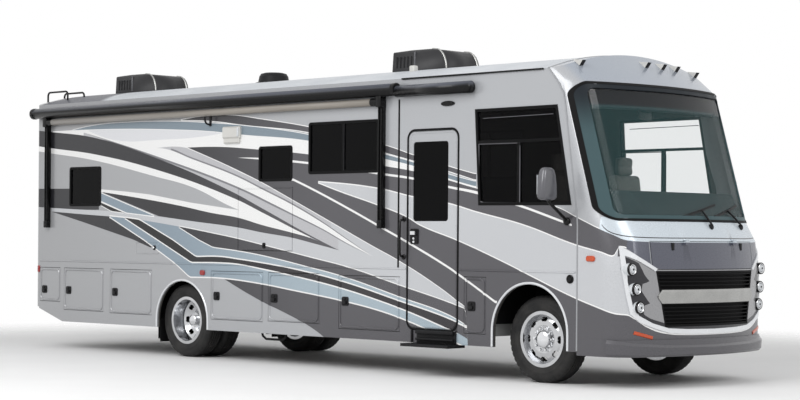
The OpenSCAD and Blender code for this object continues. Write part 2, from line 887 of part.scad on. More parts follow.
module ladder() {
    x = ladder_x + ladder_tube_r;
    bend = ladder_bend;
    rung_y = (ladder_rails[0] + ladder_rails[1]) / 2;
    color([0.05, 0.05, 0.06]) difference() {
        union() {
            for (y = ladder_rails) {
                translate([x, y, ladder_z0])
                    cylinder(r = ladder_tube_r, h = ladder_top - bend - ladder_z0);
                translate([x + bend, y, ladder_top - bend]) rotate([90, 0, 0]) rotate([0, 0, 90])
                    rotate_extrude(angle = 90) translate([bend, 0]) circle(ladder_tube_r);
                translate([x + bend, y, ladder_top]) rotate([0, 90, 0])
                    cylinder(r = ladder_tube_r, h = ladder_foot_x - x - 2 * bend);
                translate([ladder_foot_x - bend, y, ladder_top - bend]) rotate([90, 0, 0])
                    rotate_extrude(angle = 90) translate([bend, 0]) circle(ladder_tube_r);
                translate([ladder_foot_x, y, ladder_top - bend - 200])
                    cylinder(r = ladder_tube_r, h = 200);
                for (z = ladder_stays) translate([x, y, z]) rotate([0, 90, 0])
                    cylinder(r = ladder_tube_r - 2, h = rear_x - fit - x);
            }
            for (z = rungs) translate([x, rung_y, z]) rotate([90, 0, 0])
                cylinder(r = ladder_tube_r - 1, h = ladder_rails[1] - ladder_rails[0], center = true);
        }
        translate([-6000, 0, roof_centre_z]) intersection() {
            rotate([0, 90, 0]) cylinder(r = roof_r + fit, h = 3000, $fn = wide_fn);
            block([rear_x - fit + 6000, -half_w, 0], [3000, half_w, roof_r + 10]);
        }
    }
}

module mirrors() {
    out = mirror_y - half_w - 20;
    rise = mirror_z + 20 - mirror_base_z;
    color([0.55, 0.56, 0.58]) for (s = [0, 1]) mirror([0, s, 0]) {
        translate([mirror_x, -half_w - fit, mirror_base_z]) rotate([90, 0, 0])
            cylinder(r = 42, h = 26);
        translate([mirror_x, -half_w - 14, mirror_base_z]) rotate([atan2(out, rise), 0, 0])
            cylinder(r = 17, h = norm([out, rise]));
        along_x(mirror_x - 55, mirror_x + 60)
            rounded(-mirror_y - mirror_w / 2, -mirror_y + mirror_w / 2, mirror_z, mirror_z + mirror_h, 45);
    }
}

module wipers() {
    color([0.03, 0.03, 0.03]) for (y = [-250, 300]) intersection() {
        difference() {
            cap_section(3, shield_in - 14);
            cap_section(3, shield_in - fit);
        }
        along_x(4000, 6000) translate([y, shield_z0 + 20]) rotate([0, 0, 12])
            square([620, 22]);
    }
}

module dashboard() {
    color([0.12, 0.12, 0.13]) intersection() {
        union() {
            cap_section(0, cap_t + 6);
            cap_section(1, cap_t + 6);
            cap_section(2, cap_t + 6);
        }
        union() {
            block([dash_x, -dash_half_w, dash_under], [nose_x, dash_half_w, dash_top]);
            block([dash_foot[0], -dash_half_w, floor_z + fit],
                [dash_foot[1], dash_half_w, dash_under + 10]);
        }
    }
}

module steering_wheel() {
    tilt = 35;
    color([0.05, 0.05, 0.05]) difference() {
        translate([dash_x - steering_back, steering_y, dash_top]) rotate([0, -tilt, 0]) union() {
            rotate_extrude() translate([steering_r, 0]) circle(steering_grip_r);
            cylinder(r = 2 * column_r + 4, h = 2 * steering_grip_r, center = true);
            translate([0, 0, -column_len]) cylinder(r = column_r, h = column_len);
            for (a = [60, 180, 300]) rotate([0, 0, a]) block([0, -18, -8], [steering_r, 18, 8]);
        }
        block([dash_x - fit, 0, 1000], [dash_x + 500, 1100, dash_top + fit]);
    }
}

module seats() {
    color([0.45, 0.42, 0.38]) for (s = [-1, 1]) translate([seat_x, s * seat_y, floor_z + fit]) union() {
        for (part = [seat_base, seat_cushion, head_rest]) block(part[0], part[1]);
        translate(seat_back_at) rotate([0, -10, 0]) block(seat_back[0], seat_back[1]);
    }
}

module engine() {
    color([0.2, 0.2, 0.21]) union() {
        block([engine_x[0], -engine_half_w, engine_z0], [engine_x[1], engine_half_w, floor_under - 12]);
        block([engine_mount[0][0], -frame_web + fit, engine_mount[0][1]],
            [engine_mount[1][0], frame_web - fit, engine_mount[1][1]]);
        block(gearbox[0], gearbox[1]);
    }
}

module fuel_tank() {
    color([0.12, 0.12, 0.13])
        block([tank_x[0], -frame_web, tank_z0], [tank_x[1], frame_web, frame_z0 - fit]);
}

module axles() {
    color([0.1, 0.1, 0.1]) union() {
        difference() {
            union() {
                block([front_axle_x - 45, -kingpin_y + 20, axle_z - 50],
                    [front_axle_x + 45, kingpin_y - 20, axle_z + 50]);
                for (s = [-1, 1]) translate([front_axle_x, s * kingpin_y, axle_z - 60])
                    cylinder(r = 48, h = 120);
            }
            for (s = [-1, 1]) translate([front_axle_x, s * kingpin_y, 0])
                cylinder(r = kingpin_r + fit, h = 1000);
        }
        translate([rear_axle_x, 0, axle_z]) rotate([90, 0, 0])
            cylinder(r = 62, h = 2 * (rear_tyre_y - twin_pitch - tyre_w / 2 - 30), center = true);
        translate([rear_axle_x, 0, axle_z]) rotate([90, 0, 0])
            cylinder(r = rear_spindle_r, h = 2 * (rear_tyre_y - 70), center = true);
        translate([rear_axle_x, 0, axle_z]) sphere(r = 190);
        for (s = [-1, 1], a = springs)
            translate([a[0], s * (frame_in + frame_w / 2), 0]) {
                block([-60, -35, axle_z], [60, 35, spring_z + 10]);
                block([-a[1], -35, spring_z], [a[1], 35, spring_z + 50]);
                for (x = [-a[1], a[1] - 50]) block([x, -35, spring_z], [x + 50, 35, frame_z0 - fit]);
            }
        translate([shaft_x, 0, axle_z]) rotate([0, atan2(shaft_run, shaft_rise), 0])
            cylinder(r = 45, h = norm([shaft_run, shaft_rise]));
    }
}

module knuckle() {
    mid = 120;
    arm = 58;
    color([0.14, 0.14, 0.14]) translate([front_axle_x, -kingpin_y, axle_z]) union() {
        cylinder(r = kingpin_r, h = mid + 2 * arm, center = true);
        for (z = [-mid / 2 - arm, mid / 2 + 6]) {
            translate([0, 0, z]) cylinder(r = 46, h = arm - 6);
            block([-40, -90, z], [40, 0, z + arm - 6]);
        }
        block([-50, -96, -mid / 2 - arm], [50, -58, mid / 2 + arm]);
        translate([0, kingpin_y - front_tyre_y - 62, 0]) rotate([-90, 0, 0])
            cylinder(r = spindle_r, h = front_tyre_y - kingpin_y + 62 - 90);
    }
}

// Wheels are drawn about Z with the outer side up
module tyre_solid() {
    half = tyre_w / 2;
    side = [[bead_r + fit, rim_half - 12], [rim_r + 1, rim_half - 8], [tyre_r - 130, half],
        [tyre_r - 50, half - 2], [tyre_r - 14, half - 20], [tyre_r, half - 42]];
    rotate_extrude() polygon(concat([for (i = [len(side) - 1 : -1 : 0]) side[i]],
        [for (p = side) [p[0], -p[1]]]));
}

module barrel_solid() {
    rotate_extrude() polygon([[262, -rim_half], [rim_r, -rim_half], [rim_r, -rim_half + 6],
        [bead_r, -rim_half + 10], [bead_r, rim_half - 10], [rim_r, rim_half - 6],
        [rim_r, rim_half], [262, rim_half]]);
}

module front_rim() {
    difference() {
        union() {
            barrel_solid();
            rotate_extrude() polygon([[60, 62], [150, 84], [205, 78], [264, 44], [264, 18],
                [205, 54], [150, 60], [60, 38]]);
            translate([0, 0, -26]) cylinder(r = 84, h = 130);
        }
        for (a = [0 : 45 : 315], d = [-4, 4]) rotate([0, 0, a + d]) translate([212, 0, -50])
            cylinder(r = 25, h = 200);
        translate([0, 0, -27]) cylinder(r = spindle_r + fit, h = 100);
    }
}

module rear_rim() {
    mid = -twin_pitch / 2;
    difference() {
        union() {
            barrel_solid();
            translate([0, 0, -twin_pitch]) barrel_solid();
            for (s = [0, 1]) translate([0, 0, mid]) mirror([0, 0, s]) rotate_extrude()
                polygon([[60, -1], [160, -1], [205, 20], [264, 62], [264, 88], [205, 46],
                    [160, 22], [60, 22]]);
            translate([0, 0, mid - 270]) cylinder(r = 90, h = 270 - mid - 30);
            translate([0, 0, -40]) cylinder(r = 62, h = 60);
        }
        for (a = [0 : 45 : 315], d = [-4, 4]) rotate([0, 0, a + d]) translate([218, 0, -500])
            cylinder(r = 24, h = 600);
        translate([0, 0, mid - 271]) cylinder(r = rear_spindle_r + fit, h = 271 - mid - 60);
    }
}

// Puts a wheel on the right-hand side of an axle
module at_wheel(x, y) {
    translate([x, -y, axle_z]) rotate([90, 0, 0]) children();
}

module rim_front() {
    color([0.8, 0.81, 0.83]) at_wheel(front_axle_x, front_tyre_y) front_rim();
}

module tyre_front() {
    color([0.05, 0.05, 0.05]) at_wheel(front_axle_x, front_tyre_y) tyre_solid();
}

module rim_rear() {
    color([0.8, 0.81, 0.83]) at_wheel(rear_axle_x, rear_tyre_y) rear_rim();
}

module tyre_rear() {
    color([0.05, 0.05, 0.05]) at_wheel(rear_axle_x, rear_tyre_y) union() {
        tyre_solid();
        translate([0, 0, -twin_pitch]) tyre_solid();
    }
}

chassis_frame();
hitch_receiver();
floor();
wall_right();
wall_left();
rear_cap();
roof();
front_cap();
front_bumper();
windshield();
hood();
grille();
headlamps();
tail_lamps();
side_windows();
window_frames();
skirt_right();
skirt_left();
storage_bays();
entry_steps();
wheel_wells();
air_conditioners();
roof_vent();
awning();
awning_roller();
ladder();
mirrors();
wipers();
dashboard();
steering_wheel();
seats();
engine();
fuel_tank();
axles();
knuckle();  // knuckle_right
on_left() knuckle();  // knuckle_left
rim_front();  // rim_front_right
on_left() rim_front();  // rim_front_left
tyre_front();  // tyre_front_right
on_left() tyre_front();  // tyre_front_left
rim_rear();  // rim_rear_right
on_left() rim_rear();  // rim_rear_left
tyre_rear();  // tyre_rear_right
on_left() tyre_rear();  // tyre_rear_left
entry_door();
entry_door_glass();
tv_hatch();
bay_door(bays_right[0]);  // bay_door_right_1
bay_door(bays_right[1]);  // bay_door_right_2
bay_door(bays_right[2]);  // bay_door_right_3
bay_door(bays_right[3]);  // bay_door_right_4
bay_door(bays_right[4]);  // bay_door_right_5
bay_door(bays_right[5]);  // bay_door_right_6
bay_door(bays_right[6]);  // bay_door_right_7
on_left() bay_door(bays_left[0]);  // bay_door_left_1
on_left() bay_door(bays_left[1]);  // bay_door_left_2
on_left() bay_door(bays_left[2]);  // bay_door_left_3
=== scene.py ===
"""Looks of the motorhome: paint, glass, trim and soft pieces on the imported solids."""

import math

import bmesh
import bpy
from mathutils import Matrix, Vector


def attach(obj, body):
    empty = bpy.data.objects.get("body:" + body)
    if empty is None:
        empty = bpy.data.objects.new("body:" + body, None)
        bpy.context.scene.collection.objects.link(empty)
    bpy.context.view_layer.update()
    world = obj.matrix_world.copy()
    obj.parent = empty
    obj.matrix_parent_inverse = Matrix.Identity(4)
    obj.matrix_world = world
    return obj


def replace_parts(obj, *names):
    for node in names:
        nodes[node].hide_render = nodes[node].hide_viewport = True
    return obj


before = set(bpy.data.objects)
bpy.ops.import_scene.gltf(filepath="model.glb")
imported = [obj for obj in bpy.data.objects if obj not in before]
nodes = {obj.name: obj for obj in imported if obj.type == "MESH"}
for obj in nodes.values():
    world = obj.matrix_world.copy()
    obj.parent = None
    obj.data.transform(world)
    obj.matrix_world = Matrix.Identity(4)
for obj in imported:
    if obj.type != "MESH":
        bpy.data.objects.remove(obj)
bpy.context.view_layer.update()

# Sizes of the solids, in metres
HALF_W = 1.275
SKIRT_Z = 0.36
BELT_Z = 1.174
RAIL_Z = 3.295
CROWN_Z = 3.5
REAR_X = -5.137
SEAM_X = 4.426
ROOF_FRONT_X = 4.019
NOSE_X = 5.22
BUMPER_OUT = 0.02
BOW_R = 3.3
CORNER_R = 0.35
CORNER_Y = HALF_W - CORNER_R
CORNER_X = math.sqrt((BOW_R - CORNER_R) ** 2 - CORNER_Y ** 2) - BOW_R
BOW_END_Y = CORNER_Y * BOW_R / (BOW_R - CORNER_R)
ROOF_R = (HALF_W ** 2 + (CROWN_Z - RAIL_Z) ** 2) / (2 * (CROWN_Z - RAIL_Z))
SIDES = (("right", -1), ("left", 1))
# How deep a strip or a plate is sunk in the face that it stands on
SUNK = 0.001

# height, foremost point
CAP_SECTIONS = [(0.5, NOSE_X), (1.208, NOSE_X), (1.508, NOSE_X - 0.042), (1.73, NOSE_X - 0.175),
                (3.13, NOSE_X - 0.585), (3.52, NOSE_X - 1.07)]

# Wheels: end of the coach, axle along it, middle of the outer tyre, depths of the tyres behind that one
WHEELS = [("front", 3.81, 0.985, (0.0,)), ("rear", -1.98, 1.065, (0.0, 0.29))]
AXLE_Z = 0.46

# Openings in the walls: rear edge, front edge, lower edge, upper edge
DOOR = (2.004, 2.746, 0.52, 2.7)
DOOR_R = 0.09
HATCH = (-0.896, 0.095, 1.348, 2.109)
BAYS = {"right": [(-5.02, -4.553, 0.622, 1.085), (-4.467, -3.59, 0.517, 1.085),
                  (-3.447, -2.568, 0.506, 1.085), (-1.394, -0.425, 0.494, 1.095),
                  (-0.332, 0.566, 0.508, 1.095), (0.891, 1.881, 0.466, 1.085), (2.853, 3.171, 0.488, 1.105)],
        "left": [(-4.467, -2.568, 0.517, 1.085), (-1.394, 0.566, 0.494, 1.095), (0.891, 2.7, 0.466, 1.085)]}

# Wheel arches: middle along the coach, radius, top
ARCHES = [(3.783, 0.508, 1.04), (-1.96, 0.492, 0.955)]

# Lamps: distance from the middle, height, front face
LAMPS = [(1.14, 1.215, 5.0252), (1.09, 1.015, 5.0482), (1.052, 0.828, 5.0602)]


def srgb(red, green, blue):
    """A colour written as it looks on screen, as the shaders want it."""
    def linear(v):
        v /= 255
        return v / 12.92 if v <= 0.04045 else ((v + 0.055) / 1.055) ** 2.4
    return (linear(red), linear(green), linear(blue), 1.0)


# Silver of the rear end, darker as painted shade
SILVER_REAR_SHADE = srgb(168, 169, 171)
SILVER = srgb(178, 180, 183)
PALE = srgb(198, 200, 203)
MIST = srgb(222, 223, 226)
WHITE = srgb(241, 241, 240)
# Colours of the rear end are the same bands darker, as painted shade
CHARCOAL, CHARCOAL_REAR_SHADE = srgb(87, 86, 90), srgb(40, 40, 44)
LIGHT_GREY = srgb(188, 188, 191)
LINE_GREY = srgb(128, 128, 132)
BLUE, BLUE_REAR_SHADE = srgb(168, 183, 192), srgb(138, 153, 165)
BLUE_DEEP = srgb(128, 142, 152)
STRIPE_BLACK, STRIPE_REAR_SHADE = srgb(50, 48, 51), srgb(17, 17, 18)
HOOD = srgb(88, 90, 101)
COWL = srgb(203, 212, 219)
CAP_TOP = srgb(160, 167, 177)
# The pale band on the front panels beside the grille, painted darker as painted shade
LAMP_PANEL_SHADE = srgb(150, 150, 152)
BEZEL = srgb(36, 36, 41)
LINING = srgb(84, 82, 79)
TINT_LOW = srgb(88, 130, 132)
TINT_HIGH = srgb(24, 29, 34)


class Graph:
    """One material and the nodes that make it."""

    def __init__(self, name, sockets):
        self.material = bpy.data.materials.new(name)
        self.material.use_nodes = True
        self.tree = self.material.node_tree
        self.shader = self.tree.nodes["Principled BSDF"]
        for socket, value in sockets.items():
            self.shader.inputs[socket].default_value = value
        self.where = self.node("ShaderNodeTexCoord").outputs["Object"]

    def node(self, kind, **settings):
        made = self.tree.nodes.new(kind)
        for name, value in settings.items():
            setattr(made, name, value)
        return made

    def feed(self, socket, value):
        if isinstance(value, bpy.types.NodeSocket):
            self.tree.links.new(value, socket)
        else:
            socket.default_value = value

    def math(self, operation, first, second=0.0):
        made = self.node("ShaderNodeMath", operation=operation)
        self.feed(made.inputs[0], first)
        self.feed(made.inputs[1], second)
        return made.outputs[0]

    def all_of(self, first, *others):
        for other in others:
            first = self.math("MULTIPLY", first, other)
        return first

    def axes(self):
        made = self.node("ShaderNodeSeparateXYZ")
        self.feed(made.inputs[0], self.where)
        return made.outputs

    def noise(self, scale, detail=2.0, stretch=(1, 1, 1)):
        place = self.node("ShaderNodeMapping")
        self.feed(place.inputs["Vector"], self.where)
        place.inputs["Scale"].default_value = stretch
        made = self.node("ShaderNodeTexNoise")
        self.feed(made.inputs["Vector"], place.outputs[0])
        made.inputs["Scale"].default_value = scale
        made.inputs["Detail"].default_value = detail
        return made.outputs["Fac"]

    def ramp(self, value, start, end, low=0.0, high=1.0, smooth=False):
        """A value from start to end spread between two numbers."""
        made = self.node("ShaderNodeMapRange", interpolation_type="SMOOTHSTEP" if smooth else "LINEAR")
        self.feed(made.inputs["Value"], value)
        for socket, number in (("From Min", start), ("From Max", end), ("To Min", low), ("To Max", high)):
            made.inputs[socket].default_value = number
        return made.outputs[0]

    def spread(self, factor, low, high):
        """A noise factor spread between two numbers."""
        return self.ramp(factor, 0.3, 0.7, low, high)

    def mix(self, factor, first, second, blend="MIX"):
        made = self.node("ShaderNodeMix", data_type="RGBA", blend_type=blend)
        self.feed(made.inputs[0], factor)
        self.feed(made.inputs[6], first)
        self.feed(made.inputs[7], second)
        return made.outputs[2]

    def mottle(self, factor, first, second):
        """Two colours that run into each other with a noise."""
        return self.mix(self.spread(factor, 0.0, 1.0), first, second)

    def vary(self, factor, colour, amount):
        """A colour that drifts darker and lighter by a share of itself."""
        self.colour(self.mottle(factor, shade(colour, 1 - amount), shade(colour, 1 + amount)))

    def colour(self, value):
        self.feed(self.shader.inputs["Base Color"], value)

    def alpha(self, value):
        self.feed(self.shader.inputs["Alpha"], value)

    def surface(self, grain, low, high, depth, relief=None):
        """The finished material, its gloss spread between two numbers and its relief from a grain."""
        self.feed(self.shader.inputs["Roughness"], self.spread(grain, low, high))
        bump = self.node("ShaderNodeBump")
        bump.inputs["Distance"].default_value = depth
        self.feed(bump.inputs["Height"], grain if relief is None else relief)
        self.feed(self.shader.inputs["Normal"], bump.outputs[0])
        return self.material


def shade(colour, amount):
    """A colour made darker or lighter."""
    return tuple(min(1.0, c * amount) for c in colour[:3]) + (1.0,)


def grained(name, colour, rough, scale, depth, metallic=0.0, coat=0.0, vary=0.12, shine=0.5):
    """A plain stuff with a grain: colour, gloss and relief all vary a little."""
    graph = Graph(name, {"Metallic": metallic, "Coat Weight": coat, "Coat Roughness": 0.08,
                         "Specular IOR Level": shine})
    graph.vary(graph.noise(2.3), colour, vary)
    return graph.surface(graph.noise(scale, 3.0), max(0.02, rough - 0.07), rough + 0.07, depth)


def brushed(name, colour, rough):
    """Polished metal with faint turning marks."""
    graph = Graph(name, {"Metallic": 1.0})
    graph.vary(graph.noise(5.0), colour, 0.07)
    return graph.surface(graph.noise(60.0, 3.0, (1, 14, 1)), rough, rough + 0.12, 0.0002)


def glass(name, colour, shine):
    """Tinted glass with a very slight wave."""
    graph = Graph(name, {"Specular IOR Level": shine})
    wave = graph.noise(1.1, 1.0)
    graph.vary(wave, colour, 0.06)
    graph.surface(wave, 0.015, 0.035, 0.002)
    return graph


def lens(name, colour, transmission):
    """Moulded lamp plastic with fine ribs."""
    graph = Graph(name, {"Transmission Weight": transmission, "IOR": 1.49, "Coat Weight": 0.5})
    ribs = graph.node("ShaderNodeTexWave", bands_direction="Z")
    graph.feed(ribs.inputs["Vector"], graph.where)
    ribs.inputs["Scale"].default_value = 28.0
    graph.colour(graph.mix(graph.noise(9.0), shade(colour, 0.85), colour))
    return graph.surface(graph.noise(30.0), 0.06, 0.16, 0.0006, ribs.outputs["Fac"])


# Edges of the painted bands as distance along the coach and height, rear to front
EDGES = {
    "a_top": [(-5.2, 2.96), (-4.77, 2.92), (-3.85, 2.82), (-2.52, 2.52), (-1.02, 2.07), (-0.45, 1.86),
              (0.4, 1.54), (0.89, 1.37)],
    "a_low": [(-5.2, 2.75), (-4.77, 2.7), (-3.85, 2.6), (-2.52, 2.37), (-0.92, 1.97), (-0.45, 1.81),
              (0.4, 1.52), (0.89, 1.37)],
    "under_a": [(-5.2, 2.68), (-4.77, 2.63), (-3.85, 2.52), (-2.52, 2.28), (-1.8, 2.14), (-1.01, 1.88),
                (-0.86, 1.84)],
    "over_b": [(-3.67, 2.13), (-3.08, 2.09), (-2.62, 2.05), (-1.8, 1.94), (-0.86, 1.84), (-0.8, 1.93),
               (-0.6, 1.888), (-0.45, 1.835), (0.0, 1.678), (0.4, 1.53)],
    "b_top": [(-3.61, 2.09), (-2.62, 1.98), (-2.0, 1.9), (-1.4, 1.81), (-0.9, 1.75), (-0.45, 1.66),
              (0.08, 1.57), (0.4, 1.51), (0.89, 1.37)],
    "b_low": [(-3.62, 2.085), (-2.44, 1.772), (-1.8, 1.71), (-0.9, 1.63), (-0.45, 1.57), (0.08, 1.51),
              (0.49, 1.44), (0.89, 1.37)],
    "c_top": [(-3.65, 2.075), (-2.53, 1.773)],
    "c_low": [(-3.65, 1.975), (-3.11, 1.821), (-2.53, 1.773)],
    "g_top": [(-3.65, 1.952), (-3.17, 1.821)],
    "g_low": [(-3.65, 1.917), (-3.43, 1.842), (-3.17, 1.819)],
    "w_top": [(-4.76, 1.89), (-4.01, 1.86), (-3.43, 1.839), (-2.54, 1.773), (-1.52, 1.69), (-0.9, 1.63),
              (0.08, 1.51), (0.89, 1.37)],
    "w_low": [(-4.76, 1.845), (-4.01, 1.799), (-3.49, 1.772), (-2.85, 1.726), (-2.05, 1.643), (-1.4, 1.56),
              (-0.45, 1.42), (0.4, 1.28), (0.89, 1.2)],
    "d_top": [(-4.74, 1.838), (-4.01, 1.799), (-3.47, 1.772), (-2.58, 1.392)],
    "d_low": [(-4.74, 1.835), (-4.01, 1.69), (-2.98, 1.475), (-2.58, 1.365)],
    "e_low": [(-3.47, 1.77), (-2.72, 1.467), (-2.09, 1.178), (-1.81, 1.015), (-1.22, 1.015), (-0.44, 0.96),
              (0.09, 0.9), (0.93, 0.8), (1.57, 0.7), (2.01, 0.6), (2.74, 0.39), (2.94, 0.331)],
    "f_top": [(-3.14, 1.753), (-2.84, 1.726), (-2.16, 1.47), (-1.69, 1.26), (-1.23, 1.266), (-0.89, 1.24),
              (-0.45, 1.2), (0.09, 1.14), (0.93, 1.01), (1.86, 0.81), (2.65, 0.63), (3.2, 0.45)],
    "f_low": [(-3.47, 1.772), (-3.14, 1.751), (-2.44, 1.468), (-1.78, 1.199), (-1.23, 1.202), (-0.89, 1.19),
              (-0.45, 1.14), (0.09, 1.07), (0.93, 0.94), (1.57, 0.81), (2.01, 0.705), (2.57, 0.548),
              (2.74, 0.498), (3.09, 0.342)],
    "h_top": [(-2.86, 1.73), (-2.03, 1.64), (-1.4, 1.56), (-0.89, 1.49), (-0.45, 1.42), (0.4, 1.28),
              (1.06, 1.17), (1.85, 0.99), (2.65, 0.81), (2.91, 0.74)],
    "h_low": [(-2.05, 1.643), (-1.62, 1.473), (-1.36, 1.389), (-1.23, 1.379), (-0.89, 1.35), (-0.45, 1.3),
              (0.4, 1.17), (0.93, 1.08), (1.85, 0.87), (2.65, 0.68), (2.99, 0.53), (3.3, 0.36)],
    "k_low": [(-1.15, 1.0), (-0.44, 0.74), (-0.07, 0.63), (0.41, 0.47), (0.75, 0.3)],
    "n_top": [(-4.3, 2.93), (-3.76, 2.98), (-3.09, 2.99), (-2.22, 2.97), (-1.42, 2.92), (-0.84, 2.87),
              (0.35, 2.72), (1.66, 2.45), (2.06, 2.36), (2.61, 2.215), (3.0, 2.13)],
    "n_low": [(-4.3, 2.93), (-3.17, 2.91), (-2.22, 2.87), (-1.42, 2.82), (-0.84, 2.76), (0.35, 2.65),
              (1.66, 2.4), (2.07, 2.32), (2.61, 2.17), (3.0, 2.08)],
    "mist_low": [(-3.93, 2.905), (-3.24, 2.755), (-2.4, 2.745), (-1.63, 2.756), (-1.1, 2.8)],
    "o_top": [(-2.01, 2.98), (-1.5, 3.01), (-1.03, 3.0), (-0.47, 2.93), (0.35, 2.81), (1.66, 2.55),
              (2.06, 2.44), (2.61, 2.3), (3.0, 2.21)],
    "o_low": [(-2.01, 2.98), (-1.34, 2.94), (-0.84, 2.88), (0.35, 2.75), (1.66, 2.47), (2.06, 2.38),
              (2.61, 2.25), (3.0, 2.15)],
    "j_top": [(-1.87, 2.63), (-1.22, 2.62), (-0.54, 2.57), (0.35, 2.49), (1.66, 2.32), (2.07, 2.26),
              (2.61, 2.15), (3.0, 2.06), (4.13, 1.85), (4.41, 1.74), (4.74, 1.606), (4.87, 1.55),
              (4.96, 1.508), (5.3, 1.495)],
    "j_low": [(-1.87, 2.63), (-0.53, 2.2), (0.04, 1.98), (0.75, 1.7), (1.43, 1.43), (1.85, 1.27),
              (2.39, 1.03), (2.72, 0.86), (2.91, 0.745), (2.925, 0.2)],
    "l_top": [(-0.91, 2.48), (-0.53, 2.47), (0.35, 2.4), (1.66, 2.24), (2.07, 2.19), (2.61, 2.09),
              (3.0, 2.03), (3.69, 1.865), (4.09, 1.75), (4.35, 1.67)],
    "l_line": [(-0.91, 2.48), (-0.53, 2.45), (0.35, 2.375), (1.66, 2.215), (2.07, 2.165), (2.61, 2.065),
               (3.0, 2.0), (3.69, 1.84), (4.09, 1.725), (4.35, 1.65)],
    "l_low": [(0.09, 2.2), (0.46, 2.07), (1.09, 1.83), (1.59, 1.63), (1.99, 1.47), (2.64, 1.19),
              (2.76, 1.13), (3.31, 0.84)],
    "m_top": [(0.53, 2.16), (1.52, 2.07), (2.07, 1.97), (2.62, 1.89), (3.01, 1.8), (3.68, 1.66),
              (4.41, 1.45), (4.74, 1.378), (4.88, 1.343), (4.9, 1.44), (5.03, 1.335), (5.108, 1.221),
              (5.3, 1.214)],
    "m_low": [(0.53, 2.16), (0.88, 2.06), (1.5, 1.9), (1.98, 1.76), (2.18, 1.67), (2.76, 1.5),
              (3.47, 1.26), (3.82, 1.13), (4.42, 0.915), (4.74, 0.82), (4.9, 0.772), (5.0, 0.76),
              (5.05, 0.68), (5.1, 0.615), (5.15, 0.565), (5.22, 0.549)],
    "q_top": [(-4.05, 2.89), (-2.63, 2.57), (-0.92, 2.13), (-0.25, 1.91), (0.07, 1.8), (0.6, 1.62),
              (1.03, 1.45), (1.43, 1.31)],
    "q_line": [(-4.05, 2.89), (-2.63, 2.545), (-0.92, 2.105), (-0.25, 1.885), (0.07, 1.78), (0.6, 1.605),
               (1.03, 1.44), (1.43, 1.31)],
    "s_top": [(-2.5, 2.64), (-1.91, 2.63), (-0.92, 2.32), (-0.53, 2.19), (0.04, 1.97), (0.75, 1.69)],
    "s_low": [(-2.5, 2.64), (-2.34, 2.63), (-1.8, 2.49), (-0.92, 2.25), (-0.46, 2.09), (0.07, 1.905),
              (0.6, 1.69), (1.03, 1.49), (1.43, 1.31)],
    "s_line": [(-2.5, 2.65), (-2.34, 2.65), (-1.8, 2.51), (-0.92, 2.27), (-0.46, 2.11), (0.07, 1.925),
               (0.6, 1.705), (1.03, 1.5), (1.43, 1.31)],
    "block_top": [(-5.2, 2.155), (-3.66, 2.14)],
    "block_low": [(-5.2, 1.91), (-4.76, 1.89), (-4.01, 1.862), (-3.7, 1.86)],
    "sill": [(4.6, 1.745), (5.3, 1.745)],
    "cowl": [(4.7, 1.7), (4.94, 1.556), (5.3, 1.553)],
    "cowl_gap": [(4.7, 1.69), (4.94, 1.546), (5.3, 1.543)],
}

# Edges with sharp corners, and how far forward they run straight from point to point
STRAIGHT = {"over_b": 0.45, "b_low": -2.4, "c_top": -2.5, "c_low": -2.5, "g_top": -3.1, "g_low": -3.1,
            "d_top": -2.5, "d_low": -2.5, "e_low": -1.8, "f_top": -1.6, "f_low": -1.7, "h_low": -1.3}
# Painted shade: bands grow darker towards the rear end: colour by the cab, shaded colour at the rear, and
# where the change lies
REAR_PAINTED_SHADES = [(CHARCOAL, CHARCOAL_REAR_SHADE), (BLUE, BLUE_REAR_SHADE), (STRIPE_BLACK, STRIPE_REAR_SHADE)]
REAR_SHADE_FADE = (-2.6, 0.9)

